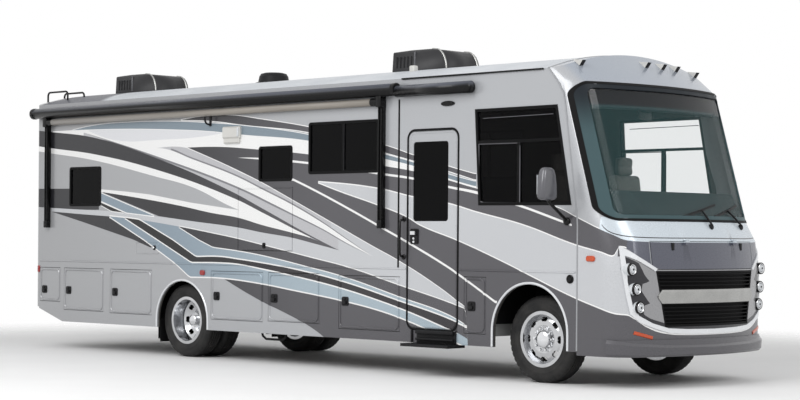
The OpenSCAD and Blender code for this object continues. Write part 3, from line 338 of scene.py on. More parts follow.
# colour, upper edge, lower edge, rear end, front end, white border, in the order of painting
BANDS = [
    (WHITE, "n_low", "a_top", -4.75, 0.6, 0.0), (WHITE, "n_low", "j_top", -1.9, 3.02, 0.0),
    (MIST, "n_low", "mist_low", -3.93, -1.1, 0.0), (PALE, "j_low", "h_top", 0.2, 2.95, 0.0),
    (WHITE, "s_low", "q_top", -2.5, 1.43, 0.0), (LIGHT_GREY, "s_top", "s_low", -2.5, 0.75, 0.0),
    (LINE_GREY, "s_line", "s_low", -2.2, 1.4, 0.0), (LIGHT_GREY, "q_top", "a_top", -4.05, 0.88, 0.0),
    (LINE_GREY, "q_top", "q_line", -4.05, 1.38, 0.0),
    (CHARCOAL, "block_top", "block_low", -5.3, -3.7, 0.0),
    (WHITE, "a_low", "under_a", -5.3, -0.78, 0.0), (WHITE, "over_b", "b_top", -3.67, 0.4, 0.0),
    (PALE, "w_top", "w_low", -4.76, 0.92, 0.0),
    (CHARCOAL, "a_top", "a_low", -5.3, 0.89, 0.0), (CHARCOAL, "b_top", "b_low", -3.61, 0.89, 0.0),
    (BLUE, "c_top", "c_low", -3.65, -2.53, 0.012), (STRIPE_BLACK, "g_top", "g_low", -3.65, -3.17, 0.01),
    (CHARCOAL, "d_top", "d_low", -4.74, -2.58, 0.0),
    (CHARCOAL, "e_low", "k_low", -1.15, 3.4, 0.0),
    (BLUE, "h_top", "f_top", -2.86, 3.2, 0.0), (BLUE, "f_low", "e_low", -3.47, 3.1, 0.016),
    (STRIPE_BLACK, "f_top", "f_low", -3.14, 2.76, 0.016), (CHARCOAL, "f_top", "f_low", 2.76, 3.4, 0.0),
    (WHITE, "f_top", "f_top", 2.74, 3.05, 0.01),
    (CHARCOAL, "h_top", "h_low", -2.03, 3.3, 0.012),
    (BLUE_DEEP, "n_top", "n_low", -4.3, 3.02, 0.008), (CHARCOAL, "o_top", "o_low", -2.01, 3.02, 0.01),
    (CHARCOAL, "j_top", "j_low", -1.87, 5.4, 0.01),
    (WHITE, "l_top", "l_line", -0.91, 4.35, 0.0), (WHITE, "l_low", "l_low", 0.05, 3.33, 0.013),
    (PALE, "m_top", "m_low", 0.53, 5.4, 0.014),
    (COWL, "sill", "j_top", 4.7, 5.4, 0.0), (HOOD, "j_top", "m_top", 4.96, 5.4, 0.0),
    # pale band between the lamp frames in painted shade
    (LAMP_PANEL_SHADE, "m_top", "m_low", 4.9, 5.4, 0.0),
    (STRIPE_BLACK, "cowl", "cowl_gap", 4.72, 5.4, 0.0),
]

# Dark lamp surround with its tails, and the strip below the grille: height, distance from the middle
BEZEL_IN = [(0.596, 0.0), (0.648, 0.0), (0.66, 0.7), (0.712, 0.903), (0.756, 0.987), (0.848, 1.005),
            (0.856, 0.965), (0.866, 0.913), (0.9, 0.945), (0.95, 0.985), (1.0, 1.022), (1.075, 1.006),
            (1.084, 0.95), (1.092, 0.923), (1.13, 0.96), (1.168, 0.991), (1.281, 1.047), (1.337, 1.157)]
BEZEL_OUT = [(0.596, 0.7), (0.66, 0.93), (0.72, 1.06), (0.8, 1.12), (0.96, 1.145), (1.1, 1.16),
             (1.337, 1.172)]
BEZEL_X = 4.93
# Side of the cap beyond the lamp frame: where it starts, and where its pale part ends
PANEL_X, PANEL_TOP = 4.9, 1.345
# Frames of the curves: start and length along the coach, height, distance from the middle
CURVE_X, CURVE_LENGTH, CURVE_Z, CURVE_Y = -5.3, 10.8, 3.6, 1.5
# Fade of the silver into painted shade towards the rear along the coach, and fades of the cap's pale crown in
# height and towards the sides
SILVER_SHADE_FADE, CROWN_FADE_Z, CROWN_FADE_Y = (-4.5, 2.0), (3.11, 3.17), (1.1, 1.22)
# The lining inside ends at a plane that leans back with the windshield: lean, place at z = 0
LINING_LEAN, LINING_X = 0.35, 5.1
FLAKE_SHADE = (0.94, 0.94, 0.95, 1.0)


def curve_through(graph, factor, points, straight=0.0):
    """A line through points in the curve's own 0 to 1 range, straight from point to point up to a limit."""
    made = graph.node("ShaderNodeFloatCurve")
    graph.feed(made.inputs["Value"], factor)
    line = made.mapping.curves[0]
    line.points[0].location = points[0]
    line.points[1].location = points[-1]
    for point in points[1:-1]:
        line.points.new(*point)
    for point in line.points:
        point.handle_type = "VECTOR" if point.location[0] <= straight else "AUTO"
    made.mapping.extend = "HORIZONTAL"
    made.mapping.update()
    return made.outputs[0]


def coach_paint():
    """Silver coach paint with its sweeping bands, placed in the coach's own frame."""
    graph = Graph("coach_paint", {"Metallic": 0.2, "Coat Weight": 0.35, "Coat Roughness": 0.05,
                                  "Specular IOR Level": 0.35})
    x, y, z = graph.axes()
    side = graph.math("ABSOLUTE", y)
    share = graph.math("DIVIDE", side, CURVE_Y)
    along = graph.math("DIVIDE", graph.math("SUBTRACT", x, CURVE_X), CURVE_LENGTH)
    height = graph.math("DIVIDE", z, CURVE_Z)
    edges = {}
    for name, points in EDGES.items():
        scaled = [((px - CURVE_X) / CURVE_LENGTH, pz / CURVE_Z) for px, pz in points]
        limit = (STRAIGHT.get(name, CURVE_X - 1.0) - CURVE_X) / CURVE_LENGTH
        edges[name] = curve_through(graph, along, scaled, limit)
    # painted shade: the bands darken towards the rear end
    rear_shade = graph.ramp(x, *REAR_SHADE_FADE, smooth=True)
    shaded_tones = {tone: graph.mix(rear_shade, rear, tone) for tone, rear in REAR_PAINTED_SHADES}

    def over(value, limit):
        return graph.math("GREATER_THAN", value, limit)

    def under(value, limit):
        return graph.math("LESS_THAN", value, limit)

    def between(upper, lower, rear, front, border=0.0):
        return graph.all_of(over(height, graph.math("SUBTRACT", edges[lower], border / CURVE_Z)),
                            under(height, graph.math("ADD", edges[upper], border / CURVE_Z)),
                            over(x, rear), under(x, front))

    # silver darkened towards the rear end as painted shade
    colour = graph.mix(graph.ramp(x, *SILVER_SHADE_FADE), SILVER_REAR_SHADE, SILVER)
    for band, upper, lower, rear, front, border in BANDS:
        if border:
            colour = graph.mix(between(upper, lower, rear, front, border), colour, WHITE)
        if upper != lower:
            colour = graph.mix(between(upper, lower, rear, front), colour, shaded_tones.get(band, band))
    inner, outer = [curve_through(graph, height, [(pz / CURVE_Z, py / CURVE_Y) for pz, py in line], 1.0)
                    for line in (BEZEL_IN, BEZEL_OUT)]
    bezel = graph.all_of(over(share, inner), under(share, outer), over(x, BEZEL_X),
                         over(z, BEZEL_IN[0][0]), under(z, BEZEL_IN[-1][0]))
    beyond = graph.all_of(over(share, outer), between("m_top", "m_low", PANEL_X, NOSE_X))
    crown = graph.all_of(graph.ramp(z, *CROWN_FADE_Z, smooth=True), over(x, ROOF_FRONT_X - 0.3),
                         graph.ramp(side, *CROWN_FADE_Y, 1.0, 0.0, smooth=True))
    lean = graph.math("ADD", x, graph.math("MULTIPLY", z, LINING_LEAN))
    inside = graph.all_of(under(side, HALF_W - 0.02), over(x, REAR_X + 0.02), under(x, SEAM_X - 0.05),
                          under(lean, LINING_X), under(z, RAIL_Z - 0.015))
    panel = graph.mix(over(z, PANEL_TOP), PALE, CHARCOAL)
    for where, tone in ((bezel, BEZEL), (beyond, panel), (crown, CAP_TOP), (inside, LINING)):
        colour = graph.mix(where, colour, tone)
    flakes = graph.mottle(graph.noise(900.0, 1.0), FLAKE_SHADE, (1, 1, 1, 1))
    graph.colour(graph.mix(1.0, colour, flakes, "MULTIPLY"))
    return graph.surface(graph.noise(160.0), 0.22, 0.34, 0.0004)


def roof_skin():
    """Pale roof sheet with a dark moulded tail."""
    graph = Graph("roof_skin", {"Specular IOR Level": 0.4})
    x, y, z = graph.axes()
    lean = graph.math("ADD", x, graph.math("MULTIPLY", z, 2.0))
    pale = graph.mottle(graph.noise(2.3), srgb(190, 195, 201), srgb(204, 208, 213))
    graph.colour(graph.mix(graph.ramp(lean, 2.85, 3.05, 1.0, 0.0, smooth=True), pale, srgb(66, 68, 78)))
    return graph.surface(graph.noise(45.0, 3.0), 0.35, 0.5, 0.0012)


def tyre_rubber():
    """Rubber with dust in its grain."""
    graph = Graph("tyre_rubber", {"Specular IOR Level": 0.35})
    graph.colour(graph.mottle(graph.noise(7.0, 4.0), srgb(24, 24, 25), srgb(46, 45, 44)))
    return graph.surface(graph.noise(140.0, 4.0), 0.55, 0.8, 0.0012)


def leather():
    """Seat leather with a pebbled grain and lighter wear."""
    graph = Graph("seat_leather", {"Sheen Weight": 0.15, "Coat Weight": 0.1})
    pebbles = graph.node("ShaderNodeTexVoronoi", feature="F1")
    graph.feed(pebbles.inputs["Vector"], graph.where)
    pebbles.inputs["Scale"].default_value = 260.0
    graph.vary(graph.noise(6.0, 4.0), srgb(98, 94, 89), 0.14)
    return graph.surface(graph.noise(40.0, 3.0), 0.42, 0.62, 0.0012, pebbles.outputs["Distance"])


def awning_cloth():
    """Taupe woven vinyl, rolled up tight."""
    graph = Graph("awning_cloth", {"Sheen Weight": 0.2})
    graph.vary(graph.noise(3.0, 3.0, (0.4, 6, 6)), srgb(142, 136, 128), 0.1)
    return graph.surface(graph.noise(420.0, 2.0, (1, 4, 4)), 0.32, 0.5, 0.0008)


def awning_shell():
    """Black awning case with a painted highlight along its upper side, where it faces up."""
    graph = Graph("awning_shell", {"Specular IOR Level": 0.25})
    facing = graph.node("ShaderNodeSeparateXYZ")
    graph.feed(facing.inputs[0], graph.node("ShaderNodeNewGeometry").outputs["Normal"])
    # painted highlight: lighter colour where the surface faces up
    painted_highlight = graph.ramp(facing.outputs["Z"], 0.05, 0.68, smooth=True)
    graph.colour(graph.mix(painted_highlight, srgb(14, 14, 15), srgb(88, 91, 100)))
    return graph.surface(graph.noise(160.0), 0.2, 0.32, 0.0001)


def floor_wood():
    """Plank floor."""
    graph = Graph("plank_floor", {"Coat Weight": 0.2})
    planks = graph.noise(9.0, 4.0, (0.25, 6, 1))
    graph.colour(graph.mottle(planks, srgb(112, 84, 60), srgb(158, 126, 94)))
    return graph.surface(planks, 0.4, 0.55, 0.001)


def side_glass():
    """Dark glass of the side windows, clearer in the cab and clearest in the driver's pane."""
    cover, right_less, left_less = 0.92, -0.26, -0.89
    graph = glass("side_glass", srgb(5, 5, 6), 0.08)
    x, y, z = graph.axes()
    less = graph.math("MULTIPLY", graph.ramp(x, 2.9, 2.95), graph.ramp(y, -1.0, 1.0, right_less, left_less))
    graph.alpha(graph.math("ADD", cover, less))
    return graph.material


def shield_glass():
    """Windshield glass with a shade band along its top."""
    cover_low, cover_high = 0.1, 0.42
    graph = glass("windshield_glass", TINT_LOW, 0.5)
    x, y, z = graph.axes()
    band = graph.ramp(z, 2.86, 2.93, smooth=True)
    graph.colour(graph.mix(band, TINT_LOW, TINT_HIGH))
    graph.alpha(graph.ramp(band, 0.0, 1.0, cover_low, cover_high))
    return graph.material


def shield_edge():
    """Blanked rim of the windshield, darker along its top."""
    graph = Graph("shield_edge", {"Specular IOR Level": 0.12})
    x, y, z = graph.axes()
    graph.colour(graph.mix(graph.ramp(z, 2.55, 3.05, smooth=True), srgb(70, 90, 94), srgb(36, 41, 46)))
    return graph.surface(graph.noise(9.0, 3.0), 0.33, 0.47, 0.0003)


PAINT = coach_paint()
ROOF = roof_skin()
TRIM_LIGHT = grained("trim_light", srgb(222, 224, 227), 0.22, 60, 0.0003, metallic=0.2, coat=0.3, vary=0.03)
SEAM_GREY = grained("seam_grey", srgb(158, 160, 163), 0.3, 60, 0.0003, vary=0.04, shine=0.3)
WHITE_PLASTIC = grained("white_plastic", srgb(208, 207, 203), 0.35, 120, 0.0006, vary=0.04)
BLACK_GLOSS = grained("black_gloss", srgb(12, 12, 13), 0.24, 40, 0.0003, shine=0.22)
BLACK_PLASTIC = grained("black_plastic", srgb(22, 22, 24), 0.5, 190, 0.0012, shine=0.2)
GRILLE_BLACK = grained("grille_black", srgb(13, 13, 14), 0.6, 190, 0.001, shine=0.1)
UNIT_PLASTIC = grained("roof_unit_plastic", srgb(44, 44, 46), 0.42, 150, 0.001, shine=0.3)
RUBBER = grained("gasket_rubber", srgb(14, 14, 15), 0.6, 160, 0.001, shine=0.12)
BLACK_STEEL = grained("black_steel", srgb(28, 28, 30), 0.46, 80, 0.001, metallic=0.2, shine=0.25)
CAST = grained("cast_iron", srgb(58, 56, 54), 0.64, 70, 0.003, metallic=0.55)
BAY_LINER = grained("bay_liner", srgb(150, 151, 150), 0.6, 110, 0.0012)
GREY_PLASTIC = grained("mirror_grey", srgb(88, 88, 93), 0.26, 120, 0.0005, metallic=0.2, coat=0.5)
DASH = grained("dash_vinyl", srgb(40, 44, 46), 0.6, 230, 0.0014, shine=0.2)
CHROME = brushed("chrome", srgb(222, 223, 225), 0.05)
ALLOY = brushed("polished_alloy", srgb(196, 197, 199), 0.08)
SATIN_ALLOY = brushed("satin_alloy", srgb(166, 166, 164), 0.24)
MIRROR = brushed("mirror_glass", srgb(214, 218, 222), 0.02)
TYRE = tyre_rubber()
LEATHER = leather()
CLOTH = awning_cloth()
AWNING_CASE = awning_shell()
PLANKS = floor_wood()
DARK_GLASS = side_glass()
SHIELD_GLASS = shield_glass()
SHIELD_EDGE = shield_edge()
CLEAR_LENS = lens("clear_lens", srgb(238, 242, 246), 0.2)
RED_LENS = lens("red_lens", srgb(176, 18, 16), 0.25)
AMBER_LENS = lens("amber_lens", srgb(226, 84, 22), 0.25)

# material, nodes that take it
FINISHES = [
    (PAINT, ["wall_right", "wall_left", "rear_cap", "front_cap", "front_bumper", "hood", "skirt_right",
             "skirt_left", "entry_door", "tv_hatch"]),
    (PAINT, [f"bay_door_{side}_{i + 1}" for side, bays in BAYS.items() for i in range(len(bays))]),
    (ROOF, ["roof"]),
    (DARK_GLASS, ["side_windows", "entry_door_glass"]),
    (SHIELD_GLASS, ["windshield"]),
    (RED_LENS, ["tail_lamps"]),
    (CLEAR_LENS, ["headlamps"]),
    (BLACK_GLOSS, ["ladder"]),
    (AWNING_CASE, ["awning"]),
    (GRILLE_BLACK, ["grille", "window_frames"]),
    (BLACK_PLASTIC, ["wipers", "roof_vent", "fuel_tank", "steering_wheel"]),
    (UNIT_PLASTIC, ["air_conditioners"]),
    (RUBBER, ["wheel_wells"]),
    (BLACK_STEEL, ["chassis_frame", "hitch_receiver", "entry_steps"]),
    (CAST, ["axles", "engine", "knuckle_right", "knuckle_left"]),
    (BAY_LINER, ["storage_bays"]),
    (GREY_PLASTIC, ["mirrors"]),
    (DASH, ["dashboard"]),
    (LEATHER, ["seats"]),
    (CLOTH, ["awning_roller"]),
    (PLANKS, ["floor"]),
    (ALLOY, [f"rim_{end}_{side}" for end in ("front", "rear") for side, sign in SIDES]),
    (TYRE, [f"tyre_{end}_{side}" for end in ("front", "rear") for side, sign in SIDES]),
]
for material, names in FINISHES:
    for name in names:
        nodes[name].data.materials.clear()
        nodes[name].data.materials.append(material)


def add_object(name, data):
    """A new object in the scene."""
    made = bpy.data.objects.new(name, data)
    bpy.context.scene.collection.objects.link(made)
    return made


def mesh_of(name, work):
    """A mesh from work that isn't needed any more."""
    shape = bpy.data.meshes.new(name)
    work.to_mesh(shape)
    work.free()
    return shape


def piece(name, work, materials, slot="black_plastic", body="coach", angle=35):
    """A mesh made into a piece of the scene that rides on a body."""
    shape = mesh_of(name, work)
    shape.shade_smooth()
    shape.set_sharp_from_angle(angle=math.radians(angle))
    for material in materials:
        shape.materials.append(material)
    made = add_object(name, shape)
    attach(made, body)
    return made


def fitting(name, parts, slot="black_plastic", body="coach", angle=35):
    """A piece put together from parts by material; a part is a way to make it and what that takes."""
    work = bmesh.new()
    for index, group in enumerate(parts.values()):
        count = len(work.faces)
        for make, *given in group:
            make(work, *given)
        work.faces.ensure_lookup_table()
        for face in work.faces[count:]:
            face.material_index = index
    return piece(name, work, list(parts), slot, body, angle)


def smooth_copy(node, slot, body, angle):
    """A piece with a node's own form and material, shaded round over its small facets."""
    shape = nodes[node].data
    work = bmesh.new()
    work.from_mesh(shape)
    bmesh.ops.remove_doubles(work, verts=work.verts, dist=1e-5)
    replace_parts(piece(node + "_smooth", work, list(shape.materials), slot, body, angle), node)


def cap_x(y, z):
    """Outer face of the cap at a distance from the middle and a height."""
    for (z0, nose0), (z1, nose1) in zip(CAP_SECTIONS, CAP_SECTIONS[1:]):
        if z <= z1:
            break
    nose = nose0 + (nose1 - nose0) * max(0.0, z - z0) / (z1 - z0)
    side = abs(y)
    if side <= BOW_END_Y:
        return nose - BOW_R + math.sqrt(BOW_R ** 2 - side ** 2)
    return nose + CORNER_X + math.sqrt(max(0.0, CORNER_R ** 2 - (side - CORNER_Y) ** 2))


def cap_point(y, z, out):
    """A point that stands off the cap's face along its normal."""
    step = 0.004
    slope_y = (cap_x(y + step, z) - cap_x(y - step, z)) / (2 * step)
    slope_z = (cap_x(y, z + step) - cap_x(y, z - step)) / (2 * step)
    normal = Vector((1, -slope_y, -slope_z)).normalized()
    return Vector((cap_x(y, z), y, z)) + normal * out


def cap_rows(across, section):
    """Rows of points over the cap: distances from the middle, and the section as height and stand-off."""
    return [[cap_point(y, z, out) for y in across] for z, out in section]


def evenly(half, count):
    """Distances from one side to the other, count of them to each half."""
    return [half * (i / count - 1) for i in range(2 * count + 1)]


def roof_z(y):
    """Height of the roof's skin at a distance from the middle."""
    return CROWN_Z - ROOF_R + math.sqrt(ROOF_R ** 2 - y ** 2)


def arc(middle, radii, degrees):
    """Points on a circle or an ellipse at some angles."""
    turns = [math.radians(a) for a in degrees]
    return [(middle[0] + radii[0] * math.cos(t), middle[1] + radii[1] * math.sin(t)) for t in turns]


def circle(radius, steps):
    """Points round a whole circle."""
    return arc((0, 0), (radius, radius), [360 * i / steps for i in range(steps)])


def dense_line(points, parts=6):
    """A line with each stretch cut into parts."""
    line = []
    for (u0, v0), (u1, v1) in zip(points, points[1:]):
        for k in range(parts):
            line.append((u0 + (u1 - u0) * k / parts, v0 + (v1 - v0) * k / parts))
    return line + [points[-1]]


def rounded_loop(low, high, radius, steps=6):
    """Points round a rectangle with rounded corners."""
    right, left = high[0] - radius, low[0] + radius
    top, bottom = high[1] - radius, low[1] + radius
    points = []
    for i, middle in enumerate([(right, top), (left, top), (left, bottom), (right, bottom)]):
        points += arc(middle, (radius, radius), [90 * (i + k / steps) for k in range(steps + 1)])
    return points


def opening_loop(opening, margin, radius, steps=6):
    """Points round the inside of an opening in a wall."""
    rear, front, low, high = opening
    return rounded_loop((rear + margin, low + margin), (front - margin, high - margin), radius, steps)


def shift_line(points, distance, closed):
    """A flat line moved sideways, to its left where the distance is above zero."""
    moved = []
    for i, here in enumerate(points):
        before = points[i - 1] if closed or i else here
        after = points[(i + 1) % len(points)] if closed or i < len(points) - 1 else here
        along = (Vector(after) - Vector(before)).normalized()
        moved.append((here[0] - along.y * distance, here[1] + along.x * distance))
    return moved


def skin(work, rings, looped=False):
    """Faces between rings of points, closed at both ends unless the last ring meets the first."""
    rings = [[work.verts.new(point) for point in ring] for ring in rings]
    for lower, upper in zip(rings, rings[1:] + rings[:1] if looped else rings[1:]):
        for i in range(len(lower)):
            work.faces.new((lower[i - 1], lower[i], upper[i], upper[i - 1]))
    if not looped:
        work.faces.new(rings[0][::-1])
        work.faces.new(rings[-1])


def add_strip(work, rows, closed=False):
    """A solid strip through three or more rows of points that run along it."""
    count = len(work.faces)
    skin(work, list(zip(*rows)), closed)
    work.faces.ensure_lookup_table()
    bmesh.ops.recalc_face_normals(work, faces=work.faces[count:])


def strip_rows(points, width, proud, closed, place):
    """Rows of a low strip with eased edges; place puts a flat point at a height above the face."""
    ease = min(0.35 * width, 0.7 * proud)
    half = width / 2
    section = [(half, -SUNK), (half, proud - ease), (half - ease, proud),
               (ease - half, proud), (-half, proud - ease), (-half, -SUNK)]
    return [[place(point, out) for point in shift_line(points, across, closed)] for across, out in section]


def add_trim(work, points, width, proud, side, closed=False, base=0.0):
    """A strip along a line on a side wall, given as distance along the coach and height."""
    def place(point, out):
        return (point[0], side * (HALF_W + base + out), point[1])
    add_strip(work, strip_rows(points, width, proud, closed, place), closed)


def add_cap_trim(work, points, width, proud):
    """A strip along a line on the front, given as distance from the middle and height."""
    add_strip(work, strip_rows(points, width, proud, False, lambda point, out: cap_point(*point, out)))


def add_block(work, corner, other, bevel):
    """A block from one corner to the other with rounded edges."""
    corner, other = Vector(corner), Vector(other)
    size = Matrix.Diagonal([*map(abs, other - corner), 1])
    made = bmesh.ops.create_cube(work, size=1.0, matrix=Matrix.Translation((corner + other) / 2) @ size)
    edges = list({edge for vert in made["verts"] for edge in vert.link_edges})
    bmesh.ops.bevel(work, geom=edges, offset=bevel, segments=3, affect="EDGES", profile=0.5)


def add_plate(work, loop, side, proud):
    """A plate with an eased edge on a side wall, from its outline as x and z."""
    ease = 0.4 * proud
    rings = []
    for across, out in ((0.0, -SUNK), (0.0, proud - ease), (ease, proud)):
        ring = [(x, side * (HALF_W + out), z) for x, z in shift_line(loop, across, True)]
        rings.append(ring if side < 0 else ring[::-1])
    skin(work, rings)


def add_panel(work, low, high, radius, side, proud):
    """A plate with rounded corners on a side wall."""
    add_plate(work, rounded_loop(low, high, radius), side, proud)


def add_lathe(work, profile, place, steps=48):
    """A profile of radius and height turned about Z, then put in place."""
    skin(work, [[place @ Vector((*point, height)) for point in circle(radius, steps)]
                for radius, height in profile])


def outward(x, y, z, side):
    """Puts a turned form on a side of the coach, its own Z pointing away from the middle."""
    return Matrix.Translation((x, side * y, z)) @ Matrix.Rotation(math.radians(-90 * side), 4, "X")


def forward(x, y, z):
    """Puts a turned form with its own Z pointing ahead."""
    return Matrix.Translation((x, y, z)) @ Matrix.Rotation(math.radians(90), 4, "Y")


def add_tube(work, points, radius, steps=12):
    """A round bar along points, closed at both ends."""
    points = [Vector(p) for p in points]
    rings = []
    across = None
    for i, here in enumerate(points):
        along = (points[min(i + 1, len(points) - 1)] - points[max(i - 1, 0)]).normalized()
        start = across or (Vector((0, 0, 1)) if abs(along.z) < 0.9 else Vector((0, 1, 0)))
        across = (start - along * start.dot(along)).normalized()
        rings.append([here + across * u + along.cross(across) * v for u, v in circle(radius, steps)])
    skin(work, rings)


# Nodes that keep their forms and lose their facets: slot, body, widest angle that is shaded round
SMOOTHED = [("front_cap", "paint_silver", "coach", 16), ("front_bumper", "paint_charcoal", "coach", 16),
            ("hood", "paint_charcoal", "hood", 16), ("windshield", "clear_glass", "coach", 16),
            ("steering_wheel", "black_plastic", "coach", 40), ("awning", "black_steel", "coach", 40),
            ("awning_roller", "awning_cloth", "coach", 40), ("ladder", "black_steel", "coach", 40),
            ("air_conditioners", "black_plastic", "coach", 40)]

# Rings of the windshield's edge from outside in: half width, lower edge, upper edge, corner radius
SHIELD_RINGS = [(1.262, 1.706, 3.146, 0.15), (1.238, 1.73, 3.122, 0.13), (1.216, 1.74, 3.111, 0.118),
                (1.194, 1.75, 3.101, 0.105), (1.172, 1.76, 3.09, 0.092), (1.15, 1.77, 3.08, 0.08)]
# Pieces on those rings: material, slot, rows as ring and height above the cap
SHIELD_STRIPS = {
    "windshield_gasket": (RUBBER, "black_plastic", [(0, -SUNK), (0, 0.007), (1, 0.01), (1, -SUNK)]),
    "windshield_edge": (SHIELD_EDGE, "dark_glass", [(1, -SUNK), *[(ring, 0.005) for ring in range(1, 6)],
                                                    (5, -0.012), (3, -0.012)])}


def shield_gasket():
    """Black gasket round the windshield and the blanked edge of its glass."""
    long_edge, long_parts = 0.3, 14
    loops = []
    for half, low, high, radius in SHIELD_RINGS:
        ring = rounded_loop((-half, low), (half, high), radius, 10)
        loop = []
        for here, after in zip(ring, ring[1:] + ring[:1]):
            loop += dense_line([here, after], long_parts if math.dist(here, after) > long_edge else 1)[:-1]
        loops.append(loop)
    for name, (material, slot, section) in SHIELD_STRIPS.items():
        rows = [[cap_point(y, z, out) for y, z in loops[ring]] for ring, out in section]
        fitting(name, {material: [(add_strip, rows, True)]}, slot)


def cab():
    """Overhead panel with its light lip, header, padded dash top, instruments and a small screen."""
    top, lip, low, depth = 3.085, 2.925, 2.905, 0.055
    wide = evenly(1.12, 16)
    rows = cap_rows(wide, ((top, -depth), (lip, -depth), (lip, -depth - 0.02), (top, -depth - 0.02)))
    fitting("front_visor", {DASH: [(add_strip, rows)]})
    rows = cap_rows(wide, ((lip, -depth), (low, 0.006 - depth), (low, -depth)))
    fitting("front_visor_lip", {SHIELD_EDGE: [(add_strip, rows)]})
    narrow = evenly(1.08, 20)
    header = ((2.87, -0.11), (3.06, -0.1), (3.06, -0.33), (2.94, -0.33))
    rows = [[cap_point(y, z, 0.0) + Vector((back, 0, 0)) for y in narrow] for z, back in header]
    fitting("cab_header", {DASH: [(add_strip, rows)]})
    rows = cap_rows(narrow, [(1.775, -0.055)])
    pad = ((4.69, 2.018), (4.662, 2.026), (4.645, 2.006), (4.64, 1.692))
    rows += [[(x, y, z) for y in narrow] for x, z in pad]
    rows += cap_rows(narrow, [(1.7, -0.09)])
    fitting("dash_pad", {DASH: [(add_strip, rows)]})
    fitting("dash_instruments", {BLACK_GLOSS: [
        (add_block, (4.612, 0.33, 1.84), (4.648, 0.78, 1.985), 0.01),
        (add_block, (4.618, -0.14, 1.8), (4.648, 0.12, 1.96), 0.008)]})
    fitting("cab_screen", {BLACK_GLOSS: [(add_block, (4.47, -0.35, 2.79), (4.5, -0.13, 2.93), 0.008)]})


# Bright frame round each lamp group and under the grille: outer edge, then inner edge, as y and z
FRAMES = {"side": ([(1.201, 1.452), (1.197, 1.195), (1.169, 0.958), (1.135, 0.763), (1.046, 0.68),
                    (0.864, 0.615), (0.668, 0.565), (0.42, 0.552), (0.0, 0.546)],
                   [(1.167, 1.352), (1.157, 1.092), (1.135, 0.96), (1.112, 0.835), (1.05, 0.745),
                    (0.89, 0.668), (0.69, 0.615), (0.425, 0.602), (0.0, 0.596)]),
          "top": ([(1.201, 1.452), (1.047, 1.345), (0.935, 1.28), (0.835, 1.22)],
                  [(1.167, 1.352), (1.051, 1.3), (0.95, 1.245), (0.86, 1.196)])}
FRAME_PROUD = 0.012
# Housing, bright ring, domed lens and dark eye of a lamp: material, profile as radius and height
LAMP_PARTS = [(BLACK_GLOSS, [(0.0645, -0.01), (0.0645, 0.01), (0.062, 0.015), (0.056, 0.015),
                             (0.053, 0.002)]),
              (CHROME, [(0.053, 0.004), (0.053, 0.015), (0.05, 0.018), (0.043, 0.014), (0.04, 0.004)]),
              (CLEAR_LENS, [(0.038, 0.003), (0.038, 0.01), (0.034, 0.017), (0.026, 0.022), (0.014, 0.024)]),
              (BLACK_GLOSS, [(0.012, 0.02), (0.012, 0.025), (0.009, 0.026)])]


def lamp_groups():
    """Three lamps a side in their bright frames, and the markers beside them."""
    for name, side in SIDES:
        for part, (outer, inner) in FRAMES.items():
            section = ((outer, -SUNK), (outer, FRAME_PROUD), (inner, FRAME_PROUD), (inner, -SUNK))
            rows = [[cap_point(side * y, z, out) for y, z in dense_line(line)] for line, out in section]
            fitting(f"lamp_frame_{part}_{name}", {TRIM_LIGHT: [(add_strip, rows)]}, "paint_silver")
        parts = {material: [] for material, profile in LAMP_PARTS}
        for y, z, face in LAMPS:
            for material, profile in LAMP_PARTS:
                parts[material].append((add_lathe, profile, forward(face, side * y, z), 40))
        fitting("lamp_rings_" + name, parts, "polished_rim")
        line = dense_line([(side * 0.888, 0.52), (side * 1.1, 0.575)])
        fitting("bumper_reflector_" + name, {AMBER_LENS: [(add_cap_trim, line, 0.036, 0.008)]}, "red_lens")
        marker = (add_panel, (4.548, 1.29), (4.66, 1.348), 0.024, side, 0.02)
        fitting("side_marker_" + name, {AMBER_LENS: [marker]}, "red_lens")


def grille_bar():
    """Broad bright bar across the grille, pointed at its ends."""
    end, taper, middle, half, point = 0.825, 0.05, 0.937, 0.074, 0.15
    section = ((-1.0, -0.008), (-0.94, 0.012), (0.66, 0.02), (0.94, 0.01), (1.0, -0.008))
    across = [(-end, point), *[(y, 1.0) for y in evenly(end - taper, 12)], (end, point)]
    rows = [[cap_point(y, middle + half * share * up, out) for y, share in across] for up, out in section]
    fitting("grille_bar", {SATIN_ALLOY: [(add_strip, rows)]}, "polished_rim", angle=12)


def front_trim():
    """Lip of the bumper, hood straps, and light strips on the hood's side joints, a painted highlight of
    their lit edges.
    """
    low = 0.33
    half = [(-1.262, 0.5), (-1.2, 0.49), (-1.1, 0.47), (-0.71, 0.443), (0.0, 0.436)]
    top = dense_line(half + [(-y, z) for y, z in half[-2::-1]])
    # share of the way down, height above the bumper
    section = ((0.0, 0.001), (0.22, 0.026), (0.85, 0.02), (1.0, 0.001))
    rows = [[cap_point(y, z + (low - z) * share, BUMPER_OUT * 0.9 + out) for y, z in top]
            for share, out in section]
    fitting("bumper_lip", {PAINT: [(add_strip, rows)]}, "paint_charcoal", angle=25)
    straps = []
    for y in (-0.6, 0.6):
        x = cap_x(y, 1.45)
        straps.append((add_block, (x - 0.02, y - 0.018, 1.41), (x + 0.012, y + 0.018, 1.488), 0.005))
    fitting("hood_straps", {BLACK_PLASTIC: straps}, body="hood")
    # light strips on the hood's side joints: painted highlight of the lit gap edges
    for name, side in SIDES:
        edge = dense_line([(side * 0.899, 1.215), (side * 0.899, 1.5)])
        fitting("hood_gap_highlight_" + name, {SEAM_GREY: [(add_cap_trim, edge, 0.008, 0.002)]}, "paint_silver")


